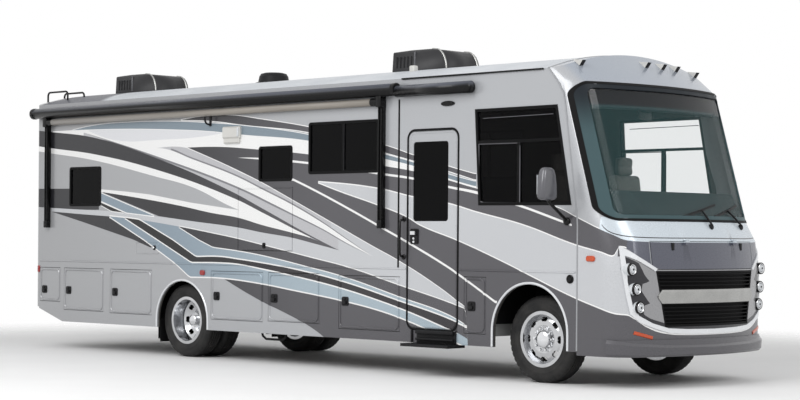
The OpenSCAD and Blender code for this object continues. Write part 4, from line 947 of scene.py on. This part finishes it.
# Wedge lamps along the cap's top edge as y and z, and their section from the back edge as ahead and up
CLEARANCE_LAMPS = [(-1.0, 3.4), (-0.03, 3.435), (0.27, 3.435), (0.56, 3.433), (1.0, 3.4)]
CLEARANCE_SECTION = [(0.0, 0.0), (0.09, -0.072), (0.134, -0.014)]
# Wipers: pivot and middle of the blade as distance from the middle; heights of pivot, sill and blade
WIPERS = [(0.125, 0.051), (0.8, 0.601)]
PIVOT_Z, SILL_Z, BLADE_Z = 1.655, 1.74, 1.83


def cap_fittings():
    """Wedge lamps along the cap's top edge, dark in front, and the wipers' arms."""
    wedges = []
    for y, z in CLEARANCE_LAMPS:
        back = cap_point(y, z, -0.003)
        wedges.append((add_strip, [[back + Vector((ahead, across, up)) for across in (-0.03, 0.03)]
                                   for ahead, up in CLEARANCE_SECTION]))
    made = fitting("clearance_lamps", {WHITE_PLASTIC: wedges, BLACK_PLASTIC: []}, "lamp_lens")
    for face in made.data.polygons:
        face.material_index = int(face.normal.x > 0.5)
    shaft = [(0.03, -0.01), (0.03, 0.02), (0.024, 0.032), (0.01, 0.036)]
    arms = []
    for pivot, blade in WIPERS:
        sill = pivot + (blade - pivot) * (SILL_Z - PIVOT_Z) / (BLADE_Z - PIVOT_Z)
        bends = ((pivot, PIVOT_Z, 0.026), (sill, SILL_Z, 0.03), (blade, BLADE_Z, 0.008))
        arms.append((add_lathe, shaft, forward(cap_x(pivot, PIVOT_Z) - 0.01, pivot, PIVOT_Z)))
        arms.append((add_tube, [cap_point(*bend) for bend in bends], 0.011))
    fitting("wiper_arms", {BLACK_PLASTIC: arms})


def seam_trim():
    """Light joint strip between the coach and its cap, down both sides and over the roof."""
    line = dense_line([(SEAM_X, SKIRT_Z + 0.01), (SEAM_X, 1.66), (SEAM_X - 0.006, 1.76), (4.254, 2.9),
                       (4.225, 3.03), (4.16, 3.14), (ROOF_FRONT_X, 3.302)], 3)
    for name, side in SIDES:
        fitting("seam_trim_" + name, {SEAM_GREY: [(add_trim, line, 0.018, 0.006, side)]}, "paint_silver")
    section = ((-0.012, -0.002), (-0.008, 0.006), (0.008, 0.006), (0.012, -0.002))
    rows = [[(ROOF_FRONT_X + ahead, y, roof_z(y) + up) for y in evenly(HALF_W, 20)] for ahead, up in section]
    fitting("seam_trim_roof", {SEAM_GREY: [(add_strip, rows)]}, "paint_silver")


# Belt mouldings: side, rear end, front end
BELTS = [(-1, -5.03, 1.965), (-1, 2.785, 4.4), (1, -5.03, 4.4)]
# Gutter rails: side, rear end; and how far forward they go
GUTTERS = [(-1, 1.9), (1, -5.02)]
GUTTER_FRONT = 3.96
# Thin bright bars on the panes: line on a side wall, width
PANE_BARS = [([(3.055, 2.53), (3.64, 2.527)], 0.01), ([(3.631, 2.557), (4.185, 2.552)], 0.01),
             ([(3.638, 2.5), (3.64, 1.896)], 0.012),
             ([(3.64, 1.896), (3.13, 1.9), (3.08, 1.915), (3.06, 1.955), (3.055, 2.53)], 0.012),
             ([(3.115, 2.805), (4.092, 2.816)], 0.008), ([(0.957, 2.29), (0.957, 2.825)], 0.01)]


def wall_trim():
    """Belt mouldings, arch rims, pane bars, gutters and the black wall joint."""
    for i, (side, rear, front) in enumerate(BELTS):
        line = [(rear, BELT_Z), (front, BELT_Z)]
        fitting(f"belt_moulding_{i + 1}", {PAINT: [(add_trim, line, 0.022, 0.009, side)]}, "paint_silver")
    for name, side in SIDES:
        for i, (middle, radius, top) in enumerate(ARCHES):
            r, foot = radius + 0.013, SKIRT_Z + 0.004
            bow = arc((middle, top - radius), (r, r), range(180, -1, -5))
            rim = (add_trim, [(middle - r, foot), *bow, (middle + r, foot)], 0.026, 0.012, side)
            fitting(f"arch_rim_{name}_{i + 1}", {TRIM_LIGHT: [rim]}, "paint_silver")
        bars = [(add_trim, dense_line(line, 2), width, 0.003, side, False, 0.0005)
                for line, width in PANE_BARS]
        fitting("pane_bars_" + name, {GREY_PLASTIC: bars}, "grey_plastic")
    rails = [(add_tube, [(x, side * 1.288, RAIL_Z - 0.004) for x in (rear, GUTTER_FRONT)], 0.01)
             for side, rear in GUTTERS]
    fitting("gutter_rails", {BLACK_GLOSS: rails})
    joint = [(1.85, BELT_Z + 0.012), (1.85, 3.065)]
    fitting("wall_joint", {RUBBER: [(add_trim, joint, 0.026, 0.005, -1)]})


def door_trim():
    """Gasket round the entry door, its raised edge, lock and grab handle, and its hanging treads."""
    ring = opening_loop(DOOR, 0.0, DOOR_R, 10)
    fitting("door_gasket", {RUBBER: [(add_trim, shift_line(ring, -0.013, True), 0.024, 0.006, -1, True)]})
    fitting("door_edge", {PAINT: [(add_trim, shift_line(ring, 0.022, True), 0.018, 0.004, -1, True)]},
            "paint_charcoal", "entry_door")
    knob = [(0.015, 0.0), (0.015, 0.022), (0.011, 0.026)]
    fitting("door_lock", {
        BLACK_GLOSS: [(add_panel, (2.045, 1.45), (2.165, 1.62), 0.016, -1, 0.016),
                      (add_block, (2.062, -HALF_W - 0.04, 1.545), (2.148, -HALF_W - 0.012, 1.6), 0.008)],
        CHROME: [(add_lathe, knob, outward(2.105, HALF_W, z, -1), 24) for z in (1.512, 1.475)]},
        body="entry_door")
    x, low, high = 1.938, 1.305, 1.727
    # half of the grip as out and up
    half = [(0.0, 0.0), (0.05, 0.01), (0.066, 0.04), (0.07, 0.211)]
    grip = [(x, -HALF_W - out, low + up) for out, up in half]
    grip += [(x, -HALF_W - out, high - up) for out, up in half[-2::-1]]
    foot = [(0.03, 0.0), (0.03, 0.008), (0.02, 0.016)]
    feet = [(add_lathe, foot, outward(x, HALF_W, z, -1), 24) for z in (low, high)]
    fitting("grab_handle", {BLACK_GLOSS: [(add_tube, grip, 0.013), *feet]})
    face = -HALF_W - 0.001
    # hanging treads: rear, front, depth, lower and upper edge, bevel
    treads = [(2.15, 2.735, 0.006, 0.362, 0.505, 0.003), (2.165, 2.73, 0.05, 0.462, 0.5, 0.008),
              (2.165, 2.73, 0.05, 0.392, 0.418, 0.008), (2.07, 2.09, 0.02, 0.362, 0.505, 0.004),
              (2.73, 2.75, 0.02, 0.362, 0.505, 0.004)]
    parts = [(add_block, (rear, face - deep, bottom), (front, face, top), bevel)
             for rear, front, deep, bottom, top, bevel in treads]
    guard = [(-0.58, 0.37), (-0.56, 0.32), (-0.5, 0.285), (-0.21, 0.285), (-0.15, 0.32), (-0.13, 0.37)]
    parts.append((add_tube, [(along, -1.15, z) for along, z in guard], 0.014))
    fitting("step_treads", {BLACK_PLASTIC: parts}, "black_steel")


def bay_trim():
    """Raised edge and latch of each bay door, away from its hinge, and those of the screen hatch."""
    inset, latch_z = 0.112, 0.785
    key = [(0.012, 0.0), (0.012, 0.02), (0.009, 0.023)]
    for name, side in SIDES:
        for i, bay in enumerate(BAYS[name]):
            body = f"bay_door_{name}_{i + 1}"
            edge = (add_trim, opening_loop(bay, 0.026, 0.055), 0.024, 0.013, side, True)
            fitting(f"bay_edge_{name}_{i + 1}", {PAINT: [edge]}, "paint_charcoal", body)
            x, z = bay[0] + inset, latch_z
            plate = (add_panel, (x - 0.055, z - 0.052), (x + 0.055, z + 0.052), 0.022, side, 0.012)
            grip = (add_block, (x - 0.03, side * 1.282, z - 0.034),
                    (x + 0.03, side * 1.306, z + 0.006), 0.007)
            lock = (add_lathe, key, outward(x, HALF_W, z + 0.027, side), 20)
            parts = {BLACK_PLASTIC: [plate, grip], BLACK_STEEL: [lock]}
            fitting(f"bay_latch_{name}_{i + 1}", parts, body=body)
    edge = (add_trim, opening_loop(HATCH, 0.014, 0.02), 0.01, 0.004, -1, True)
    fitting("hatch_edge", {PAINT: [edge]}, "paint_silver", "tv_hatch")
    knob = [(0.014, 0.0), (0.014, 0.018), (0.01, 0.022)]
    fitting("hatch_latch", {BLACK_GLOSS: [(add_panel, (-0.44, 1.378), (-0.386, 1.448), 0.02, -1, 0.01),
                                          (add_lathe, knob, outward(-0.413, HALF_W, 1.413, -1), 20)]},
            body="tv_hatch")


def wall_fittings():
    """Small fittings on the awning side: hatch, lamps, markers, filler cap and hook."""
    hatch = rounded_loop((-2.902, 1.292), (-2.434, 1.433), 0.025)
    fitting("water_hatch", {PAINT: [(add_trim, hatch, 0.01, 0.005, -1, True)]}, "paint_silver")
    place = outward(-2.52, HALF_W, 1.37, -1)
    fitting("water_lock", {
        BLACK_GLOSS: [(add_lathe, [(0.03, 0.0), (0.03, 0.009), (0.024, 0.012)], place, 32)],
        CHROME: [(add_lathe, [(0.015, 0.009), (0.015, 0.02), (0.011, 0.023)], place, 24)]})
    for name, side in SIDES:
        fitting("rear_marker_" + name, {RED_LENS: [
            (add_panel, (-1.6, 1.036), (-1.512, 1.1), 0.022, side, 0.02),
            (add_panel, (-5.068, 1.014), (-5.024, 1.107), 0.014, side, 0.014)]}, "red_lens")
    fitting("porch_lamp", {
        WHITE_PLASTIC: [(add_panel, (-1.165, 2.715), (-0.842, 2.862), 0.02, -1, 0.045),
                        (add_panel, (-1.15, 2.655), (-0.857, 2.722), 0.02, -1, 0.036)],
        CLEAR_LENS: [(add_block, (-0.88, -HALF_W - 0.05, 2.735), (-0.852, -HALF_W - 0.02, 2.846), 0.006)]},
        "lamp_lens")
    oval = arc((2.598, 2.987), (0.1, 0.028), range(0, 360, 12))
    fitting("door_lamp", {BLACK_GLOSS: [(add_plate, oval, -1, 0.022)]})
    cap = [(0.046, 0.0), (0.046, 0.008), (0.038, 0.013), (0.034, 0.008), (0.03, 0.008), (0.026, 0.016)]
    fitting("filler_cap", {BLACK_GLOSS: [(add_lathe, cap, outward(4.335, HALF_W, 1.105, -1), 36)]})
    hook = [(1.28, 2.905), (1.318, 2.902), (1.35, 2.918), (1.366, 2.95), (1.372, 2.996)]
    fitting("awning_cradle", {BLACK_PLASTIC: [(add_panel, (-1.446, 2.88), (-1.404, 3.0), 0.01, -1, 0.008),
                                              (add_tube, [(-1.425, -y, z) for y, z in hook], 0.012)]})


# Tyre section from the bead to the tread: distance from the middle plane, radius, notched
TYRE_SIDE = [(0.103, 0.2854, False), (0.107, 0.299, False), (0.119, 0.312, False), (0.1268, 0.33, False),
             (0.127, 0.352, False), (0.1282, 0.355, False), (0.1282, 0.361, False), (0.1268, 0.364, False),
             (0.1262, 0.396, False), (0.125, 0.412, False), (0.118, 0.43, False), (0.1085, 0.445, True),
             (0.099, 0.454, True), (0.0855, 0.46, True), (0.078, 0.46, False)]
TREAD_R = TYRE_SIDE[-1][1]
TYRE_GROOVES = [0.054, 0.018, -0.018, -0.054]
GROOVE_HALF_W = 0.006
GROOVE_DEEP = 0.012
TYRE_STEPS = 180
NOTCH_PITCH = 4
NOTCH_DEEP = 0.009
# Wheel ends by end of the coach: nut circle, nut base, hub cap profile as radius and height
WHEEL_ENDS = {"front": (0.117, 0.0735, [(0.087, 0.097), (0.087, 0.107), (0.078, 0.116), (0.05, 0.122),
                                        (0.015, 0.124)]),
              "rear": (0.125, -0.125, [(0.066, 0.01), (0.066, 0.022), (0.058, 0.03), (0.036, 0.034),
                                       (0.012, 0.035)])}
NUTS = 10
# Washer and nut: profile as radius and height, sides
NUT_PARTS = [([(0.021, 0.0), (0.021, 0.005), (0.018, 0.006)], 24),
             ([(0.0165, 0.004), (0.0165, 0.024), (0.012, 0.03)], 6)]


def add_tyre(work, place):
    """A tyre with grooves round its tread and notched shoulders."""
    section = list(TYRE_SIDE)
    for middle in TYRE_GROOVES:
        for across, deep in ((1.0, 0.0), (0.7, GROOVE_DEEP), (-0.7, GROOVE_DEEP), (-1.0, 0.0)):
            section.append((middle + across * GROOVE_HALF_W, TREAD_R - deep, False))
    section += [(-across, radius, notched) for across, radius, notched in reversed(TYRE_SIDE)]
    rings = []
    for across, radius, notched in reversed(section):
        ring = []
        for i, (u, v) in enumerate(circle(1.0, TYRE_STEPS)):
            r = radius - NOTCH_DEEP if notched and i % NOTCH_PITCH == 0 else radius
            ring.append(place @ Vector((r * u, r * v, across)))
        rings.append(ring)
    skin(work, rings, True)


def wheels():
    """Grooved tyres, wheel nuts and hub caps."""
    for end, axle, middle, depths in WHEELS:
        for name, side in SIDES:
            body = f"wheel_{end}_{name}"
            twins = [(add_tyre, outward(axle, middle - depth, AXLE_Z, side)) for depth in depths]
            tyre = fitting(f"grooved_tyre_{end}_{name}", {TYRE: twins}, "tyre_rubber", body, 28)
            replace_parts(tyre, f"tyre_{end}_{name}")
            nut_circle, base, hub = WHEEL_ENDS[end]
            place = outward(axle, middle, AXLE_Z, side)
            parts = [(add_lathe, hub, place, 64)]
            for i in range(NUTS):
                turn = place @ Matrix.Rotation(2 * math.pi * i / NUTS, 4, "Z")
                spot = turn @ Matrix.Translation((nut_circle, 0, base))
                parts += [(add_lathe, profile, spot, steps) for profile, steps in NUT_PARTS]
            fitting(f"wheel_nuts_{end}_{name}", {CHROME: parts}, "polished_rim", body)


# Mirror head sections: share of its height, half width, half depth
MIRROR_SECTIONS = [(0.0, 0.066, 0.026), (0.03, 0.102, 0.048), (0.1, 0.1195, 0.0565), (0.45, 0.116, 0.0575),
                   (0.78, 0.098, 0.053), (0.92, 0.082, 0.044), (0.98, 0.062, 0.03), (1.0, 0.036, 0.014)]
MIRROR_X, MIRROR_Y, MIRROR_Z, MIRROR_H = 4.2885, 1.6, 1.912, 0.335
# Below 1 the head's section is squarer than an ellipse
MIRROR_SQUARE = 0.55
# Mirror arm from the wall to the head as distance from the middle and height
MIRROR_ARM = [(1.284, 1.704), (1.35, 1.752), (1.56, 1.888), (1.594, 1.925)]


def add_mirror_head(work, side):
    """A tapered head with squared sides."""
    def square(share):
        return math.copysign(abs(share) ** MIRROR_SQUARE, share)
    turn = [(square(c), square(s)) for c, s in circle(1.0, 40)]
    rows = []
    for share, wide, deep in MIRROR_SECTIONS:
        z = MIRROR_Z + MIRROR_H * share
        rows.append([(MIRROR_X + deep * c, side * MIRROR_Y + wide * s, z) for c, s in turn])
    skin(work, rows)
    bmesh.ops.subdivide_edges(work, edges=work.edges[:], cuts=1, use_grid_fill=True)


def mirrors():
    """Tapered mirror heads with their glass, arms and feet."""
    foot = [(0.042, 0.0), (0.042, 0.012), (0.036, 0.022), (0.024, 0.027)]
    for name, side in SIDES:
        x, y, z = MIRROR_X, side * MIRROR_Y, MIRROR_Z + 0.055
        made = fitting("mirror_" + name, {
            GREY_PLASTIC: [(add_mirror_head, side)],
            BLACK_GLOSS: [(add_tube, [(x, side * out, up) for out, up in MIRROR_ARM], 0.017, 20),
                          (add_lathe, foot, outward(x, HALF_W, 1.7, side), 36)],
            MIRROR: [(add_block, (x - 0.0605, y - 0.092, z), (x - 0.05, y + 0.092, z + 0.2), 0.003)]},
            "grey_plastic", angle=40)
        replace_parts(made, "mirrors")


SEAT_X, SEAT_Y, FLOOR_Z = 3.9, 0.56, 1.1734
PUFF_LIMIT = 0.02
PUFF_VOXEL = 0.012
PUFF_STEPS = 20
SEAM_WIDTH = 0.011
# Seat pads: name, low corner, high corner, edge rounding, turn about Y at the origin of the pad, that origin
SEAT_PADS = [("cushion", (-0.25, -0.248, 0.262), (0.258, 0.248, 0.408), 0.045, 0.0, (0.0, 0.0, 0.0)),
             ("back", (0.012, -0.238, 0.012), (0.138, 0.238, 0.748), 0.045, -10.0, (-0.26, 0.0, 0.33)),
             ("head_rest", (-0.357, -0.122, 1.062), (-0.263, 0.122, 1.262), 0.035, 0.0, (0.0, 0.0, 0.0))]
# Sewn lines of a pad: axis, place on it, depth
SEAMS = {"cushion": [(1, -0.15, 0.01), (1, 0.15, 0.01), (0, 0.09, 0.007)],
         "back": [(1, -0.145, 0.01), (1, 0.145, 0.01), (2, 0.3, 0.007), (2, 0.52, 0.007)],
         "head_rest": [(2, 1.16, 0.004)]}


def evaluated(made):
    """The mesh of an object as its modifiers leave it."""
    graph = bpy.context.evaluated_depsgraph_get()
    return bpy.data.meshes.new_from_object(made.evaluated_get(graph))


def settle(made):
    """Gives an object the mesh that its modifiers make, and takes them off."""
    shape = evaluated(made)
    made.modifiers.clear()
    made.data = shape


def stuffed(name, low, high, bevel):
    """A pad blown up from a smaller block as cloth, then sewn down along its seams."""
    work = bmesh.new()
    add_block(work, low, high, bevel)
    made = add_object(name, mesh_of(name, work))
    remesh = made.modifiers.new("remesh", "REMESH")
    remesh.mode = "VOXEL"
    remesh.voxel_size = PUFF_VOXEL
    settle(made)
    rest = [v.co.copy() for v in made.data.vertices]
    cloth = made.modifiers.new("cloth", "CLOTH")
    cloth.settings.use_pressure = True
    cloth.settings.uniform_pressure_force = 4.0
    cloth.settings.effector_weights.gravity = 0.0
    for step in range(1, PUFF_STEPS + 1):
        bpy.context.scene.frame_set(step)
    settle(made)
    bpy.context.scene.frame_set(1)
    middle = (Vector(low) + Vector(high)) / 2
    for vertex, start in zip(made.data.vertices, rest):
        moved = vertex.co - start
        if moved.length > PUFF_LIMIT:
            moved *= PUFF_LIMIT / moved.length
        dent = sum(deep * math.exp(-((start[axis] - place) / SEAM_WIDTH) ** 2)
                   for axis, place, deep in SEAMS[name])
        vertex.co = start + moved + (middle - start).normalized() * dent
    smooth = made.modifiers.new("smooth", "SUBSURF")
    smooth.levels = smooth.render_levels = 1
    pad = evaluated(made)
    bpy.data.objects.remove(made)
    return pad


def seats():
    """Two cab seats: stuffed leather pads on plastic pedestals."""
    pads = [(name, stuffed(name, low, high, bevel), turn, place)
            for name, low, high, bevel, turn, place in SEAT_PADS]
    for side_name, side in SIDES:
        seat = Matrix.Translation((SEAT_X, side * SEAT_Y, FLOOR_Z))
        for name, shape, turn, place in pads:
            work = bmesh.new()
            work.from_mesh(shape)
            work.transform(seat @ Matrix.Translation(place) @ Matrix.Rotation(math.radians(turn), 4, "Y"))
            made = piece(f"seat_{name}_{side_name}", work, [LEATHER], "seat_cover", angle=60)
            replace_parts(made, "seats")
        work = bmesh.new()
        add_block(work, (-0.175, -0.165, 0.0), (0.195, 0.165, 0.04), 0.01)
        add_block(work, (-0.13, -0.12, 0.035), (0.15, 0.12, 0.225), 0.02)
        add_block(work, (-0.18, -0.17, 0.215), (0.2, 0.17, 0.258), 0.01)
        for across in (-0.05, 0.05):
            add_tube(work, [(-0.3, across, 1.0), (-0.31, across, 1.075)], 0.008)
        work.transform(seat)
        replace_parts(piece("seat_pedestal_" + side_name, work, [BLACK_PLASTIC]), "seats")


AWNING_Y, AWNING_Z = -1.3454, 3.172
ROLLER_Y, ROLLER_Z = -1.3254, 3.045
# Awning arms: rear edge, front edge
ARMS = [(-4.854, -4.788), (1.571, 1.637)]
AWNING_ENDS = (-5.046, 1.826)
ROLLER_HUBS = (-4.788, 1.462)


def awning_fittings():
    """End caps, brackets and arm ribs of the awning, and the hubs of its roller."""
    wall = -HALF_W - 0.001
    cap = [(0.066, 0.0), (0.0745, 0.004), (0.0745, 0.05), (0.066, 0.058), (0.02, 0.06)]
    hub = [(0.04, 0.0), (0.0475, 0.006), (0.0475, 0.1), (0.04, 0.108)]
    screw = [(0.009, 0.0), (0.009, 0.006), (0.005, 0.009)]
    rear_end, front_end = [forward(x, AWNING_Y, AWNING_Z) for x in AWNING_ENDS]
    parts = [(add_lathe, cap, front_end), (add_lathe, cap, rear_end @ Matrix.Rotation(math.pi, 4, "X"))]
    parts += [(add_lathe, hub, forward(x, ROLLER_Y, ROLLER_Z)) for x in ROLLER_HUBS]
    screws = []
    for rear, front in ARMS:
        parts.append((add_block, (rear - 0.006, -1.372, 2.985), (front + 0.008, wall, 3.12), 0.01))
        parts.append((add_block, (rear - 0.004, -1.346, 1.622), (front + 0.004, wall, 1.715), 0.01))
        parts += [(add_block, (x - 0.007, -1.3405, 1.7), (x + 0.007, -1.33, 2.99), 0.003)
                  for x in (rear + 0.012, front - 0.012)]
        screws += [(add_lathe, screw, outward((rear + front) / 2, 1.345, z, -1), 12) for z in (1.645, 1.692)]
    fitting("awning_fittings", {BLACK_GLOSS: parts}, "black_steel")
    fitting("awning_screws", {BLACK_STEEL: screws})


# Rear ends of the roof units, and roof boxes: place along and across, plan size, height
AC_UNITS = [-4.65, 0.765]
ROOF_BOXES = [(1.53, -0.72, 0.08, 0.065), (-3.2, 0.55, 0.2, 0.07), (2.8, 0.6, 0.36, 0.08)]


def roof_fittings():
    """Shroud trim and vents of the roof units, vent flange and small roof boxes."""
    trim = []
    dividers = []
    flange = [(0.245, -0.02), (0.245, 0.012), (0.232, 0.018), (0.2, 0.018)]
    vents = [(add_lathe, flange, Matrix.Translation((-1.69, 0, CROWN_Z - 0.008)), 72)]
    for start in AC_UNITS:
        for side in (-1, 1):
            line = arc((start + 0.69, CROWN_Z), (0.166, 0.228), range(0, 91, 6))
            line.append((start + 0.64, CROWN_Z + 0.234))
            trim.append((add_tube, [(x, side * 0.272, z) for x, z in line], 0.013))
            dividers.append((add_block, (start + 0.366, side * 0.286, CROWN_Z + 0.005),
                             (start + 0.386, side * 0.306, CROWN_Z + 0.215), 0.004))
            for i in range(5):
                x = start + 0.07 + 0.06 * i
                vents.append((add_block, (x, side * 0.286, CROWN_Z + 0.035),
                              (x + 0.022, side * 0.304, CROWN_Z + 0.17), 0.004))
        for y in (-0.16, 0.0, 0.16):
            vents.append((add_block, (start + 0.06, y - 0.055, CROWN_Z + 0.222),
                          (start + 0.4, y + 0.055, CROWN_Z + 0.24), 0.008))
    fitting("roof_unit_trim", {SATIN_ALLOY: trim, GREY_PLASTIC: dividers}, "grey_plastic")
    fitting("roof_unit_vents", {BLACK_PLASTIC: vents})
    boxes = [(add_block, (x - size / 2, y - size / 2, roof_z(y) - 0.03),
              (x + size / 2, y + size / 2, roof_z(y) + tall), 0.018) for x, y, size, tall in ROOF_BOXES]
    fitting("roof_boxes", {WHITE_PLASTIC: boxes}, "roof_white")


def rear_fittings():
    """Rims of the tail lamps, bare plate panel, camera hood, clearance lamps and mud flaps."""
    wall = REAR_X + 0.002
    loop = rounded_loop((0.966, 0.896), (1.134, 1.264), 0.03)
    section = ((0.0, 0.0), (0.0, 0.01), (0.006, 0.016), (0.014, 0.016), (0.02, 0.01))
    rims = []
    flaps = []
    for side in (-1, 1):
        rows = [[(REAR_X - back + SUNK, side * y, z) for y, z in shift_line(loop, across, True)]
                for across, back in section]
        rims.append((add_strip, rows, True))
        flaps += [(add_block, (-2.482, side * 0.7, 0.172), (-2.468, side * 1.205, 0.47), 0.004),
                  (add_block, (-2.49, side * 0.7, 0.44), (-2.462, side * 1.205, 0.47), 0.004)]
    fitting("tail_lamp_rims", {CHROME: rims}, "polished_rim")
    fitting("mud_flaps", {RUBBER: flaps})
    fitting("plate_panel", {BLACK_PLASTIC: [
        (add_block, (REAR_X - 0.012, -0.18, 0.86), (wall, 0.18, 1.01), 0.005),
        (add_block, (REAR_X - 0.055, -0.06, 3.06), (wall, 0.06, 3.13), 0.018),
        (add_block, (REAR_X - 0.01, -0.12, 1.03), (wall, 0.12, 1.055), 0.004)]})
    lamps = [(add_block, (REAR_X - 0.02, y - 0.045, 3.19), (wall, y + 0.045, 3.222), 0.009)
             for y in (-1.02, -0.16, 0.0, 0.16, 1.02)]
    fitting("rear_clearance_lamps", {RED_LENS: lamps}, "red_lens")


for row in SMOOTHED:
    smooth_copy(*row)
for dress in (shield_gasket, lamp_groups, grille_bar, front_trim, cap_fittings, seam_trim, wall_trim,
              door_trim, bay_trim, wall_fittings, wheels, mirrors, seats, cab, awning_fittings, roof_fittings,
              rear_fittings):
    dress()


# Camera at the photographed viewing angle, with the picture 800 pixels wide
CAMERA_PLACE = (17.0255, -16.6783, 1.5047)
CAMERA_AZIMUTH = 44.5235
CAMERA_ROLL = 0.4447
FOCAL_PIXELS = 1933.5
PICTURE_W = 800
HORIZON_DROP = 39
SENSOR_W = 36.0
FLOOR_R = 12.5
FLOOR_FADE = (6.5, 12.0)
# Strength of the surroundings as light on the coach, and as seen direct, in gloss and through glass
WORLD_LIGHT = 0.52
WORLD_SEEN = 1.0
# name, place, aim, size, power
STUDIO_LAMPS = [("key", (2.0, -13.0, 10.0), (0.0, -1.0, 1.2), 9.0, 1150.0),
                ("front", (15.0, -2.0, 8.0), (4.5, 0.0, 1.5), 6.0, 520.0)]


def camera():
    """The camera that took the photograph, level but for a slight roll."""
    data = bpy.data.cameras.new("camera")
    data.sensor_width = SENSOR_W
    data.lens = FOCAL_PIXELS * SENSOR_W / PICTURE_W
    data.shift_y = HORIZON_DROP / PICTURE_W
    data.clip_end = 200.0
    made = add_object("camera", data)
    place = Matrix.Translation(CAMERA_PLACE)
    for angle, axis in ((CAMERA_AZIMUTH, "Z"), (90, "X"), (CAMERA_ROLL, "Z")):
        place = place @ Matrix.Rotation(math.radians(angle), 4, axis)
    made.matrix_world = place
    bpy.context.scene.camera = made


def pale_floor():
    """A pale floor that fades out into the white surroundings."""
    graph = Graph("pale_floor", {"Roughness": 0.7, "Specular IOR Level": 0.2})
    graph.colour(graph.mottle(graph.noise(0.8, 3.0), (0.9, 0.9, 0.9, 1), (0.93, 0.93, 0.93, 1)))
    blend = graph.node("ShaderNodeMixShader")
    radius = graph.node("ShaderNodeVectorMath", operation="LENGTH")
    graph.feed(radius.inputs[0], graph.where)
    graph.feed(blend.inputs[0], graph.ramp(radius.outputs["Value"], *FLOOR_FADE, smooth=True))
    graph.feed(blend.inputs[1], graph.shader.outputs[0])
    graph.feed(blend.inputs[2], graph.node("ShaderNodeBsdfTransparent").outputs[0])
    graph.feed(graph.tree.nodes["Material Output"].inputs["Surface"], blend.outputs[0])
    work = bmesh.new()
    bmesh.ops.create_circle(work, cap_ends=True, radius=FLOOR_R, segments=96)
    shape = mesh_of("floor_disc", work)
    shape.materials.append(graph.material)
    made = add_object("floor_disc", shape)
    made.location.z = -0.001


def studio():
    """White surroundings and two broad soft lamps."""
    world = bpy.data.worlds.new("studio")
    bpy.context.scene.world = world
    world.use_nodes = True
    tree = world.node_tree
    back = tree.nodes["Background"]
    back.inputs["Color"].default_value = (1, 1, 1, 1)
    path = tree.nodes.new("ShaderNodeLightPath")
    seen = path.outputs["Is Camera Ray"]
    for ray in ("Is Transmission Ray", "Is Glossy Ray"):
        either = tree.nodes.new("ShaderNodeMath")
        either.operation = "MAXIMUM"
        tree.links.new(seen, either.inputs[0])
        tree.links.new(path.outputs[ray], either.inputs[1])
        seen = either.outputs[0]
    level = tree.nodes.new("ShaderNodeMapRange")
    level.inputs["To Min"].default_value = WORLD_LIGHT
    level.inputs["To Max"].default_value = WORLD_SEEN
    tree.links.new(seen, level.inputs["Value"])
    tree.links.new(level.outputs[0], back.inputs["Strength"])
    for name, place, aim, size, power in STUDIO_LAMPS:
        data = bpy.data.lights.new(name, "AREA")
        data.size = size
        data.energy = power
        made = add_object(name, data)
        made.location = place
        made.rotation_euler = (Vector(aim) - Vector(place)).to_track_quat("-Z", "Y").to_euler()


camera()
pale_floor()
studio()
bpy.context.scene.view_settings.view_transform = "Standard"
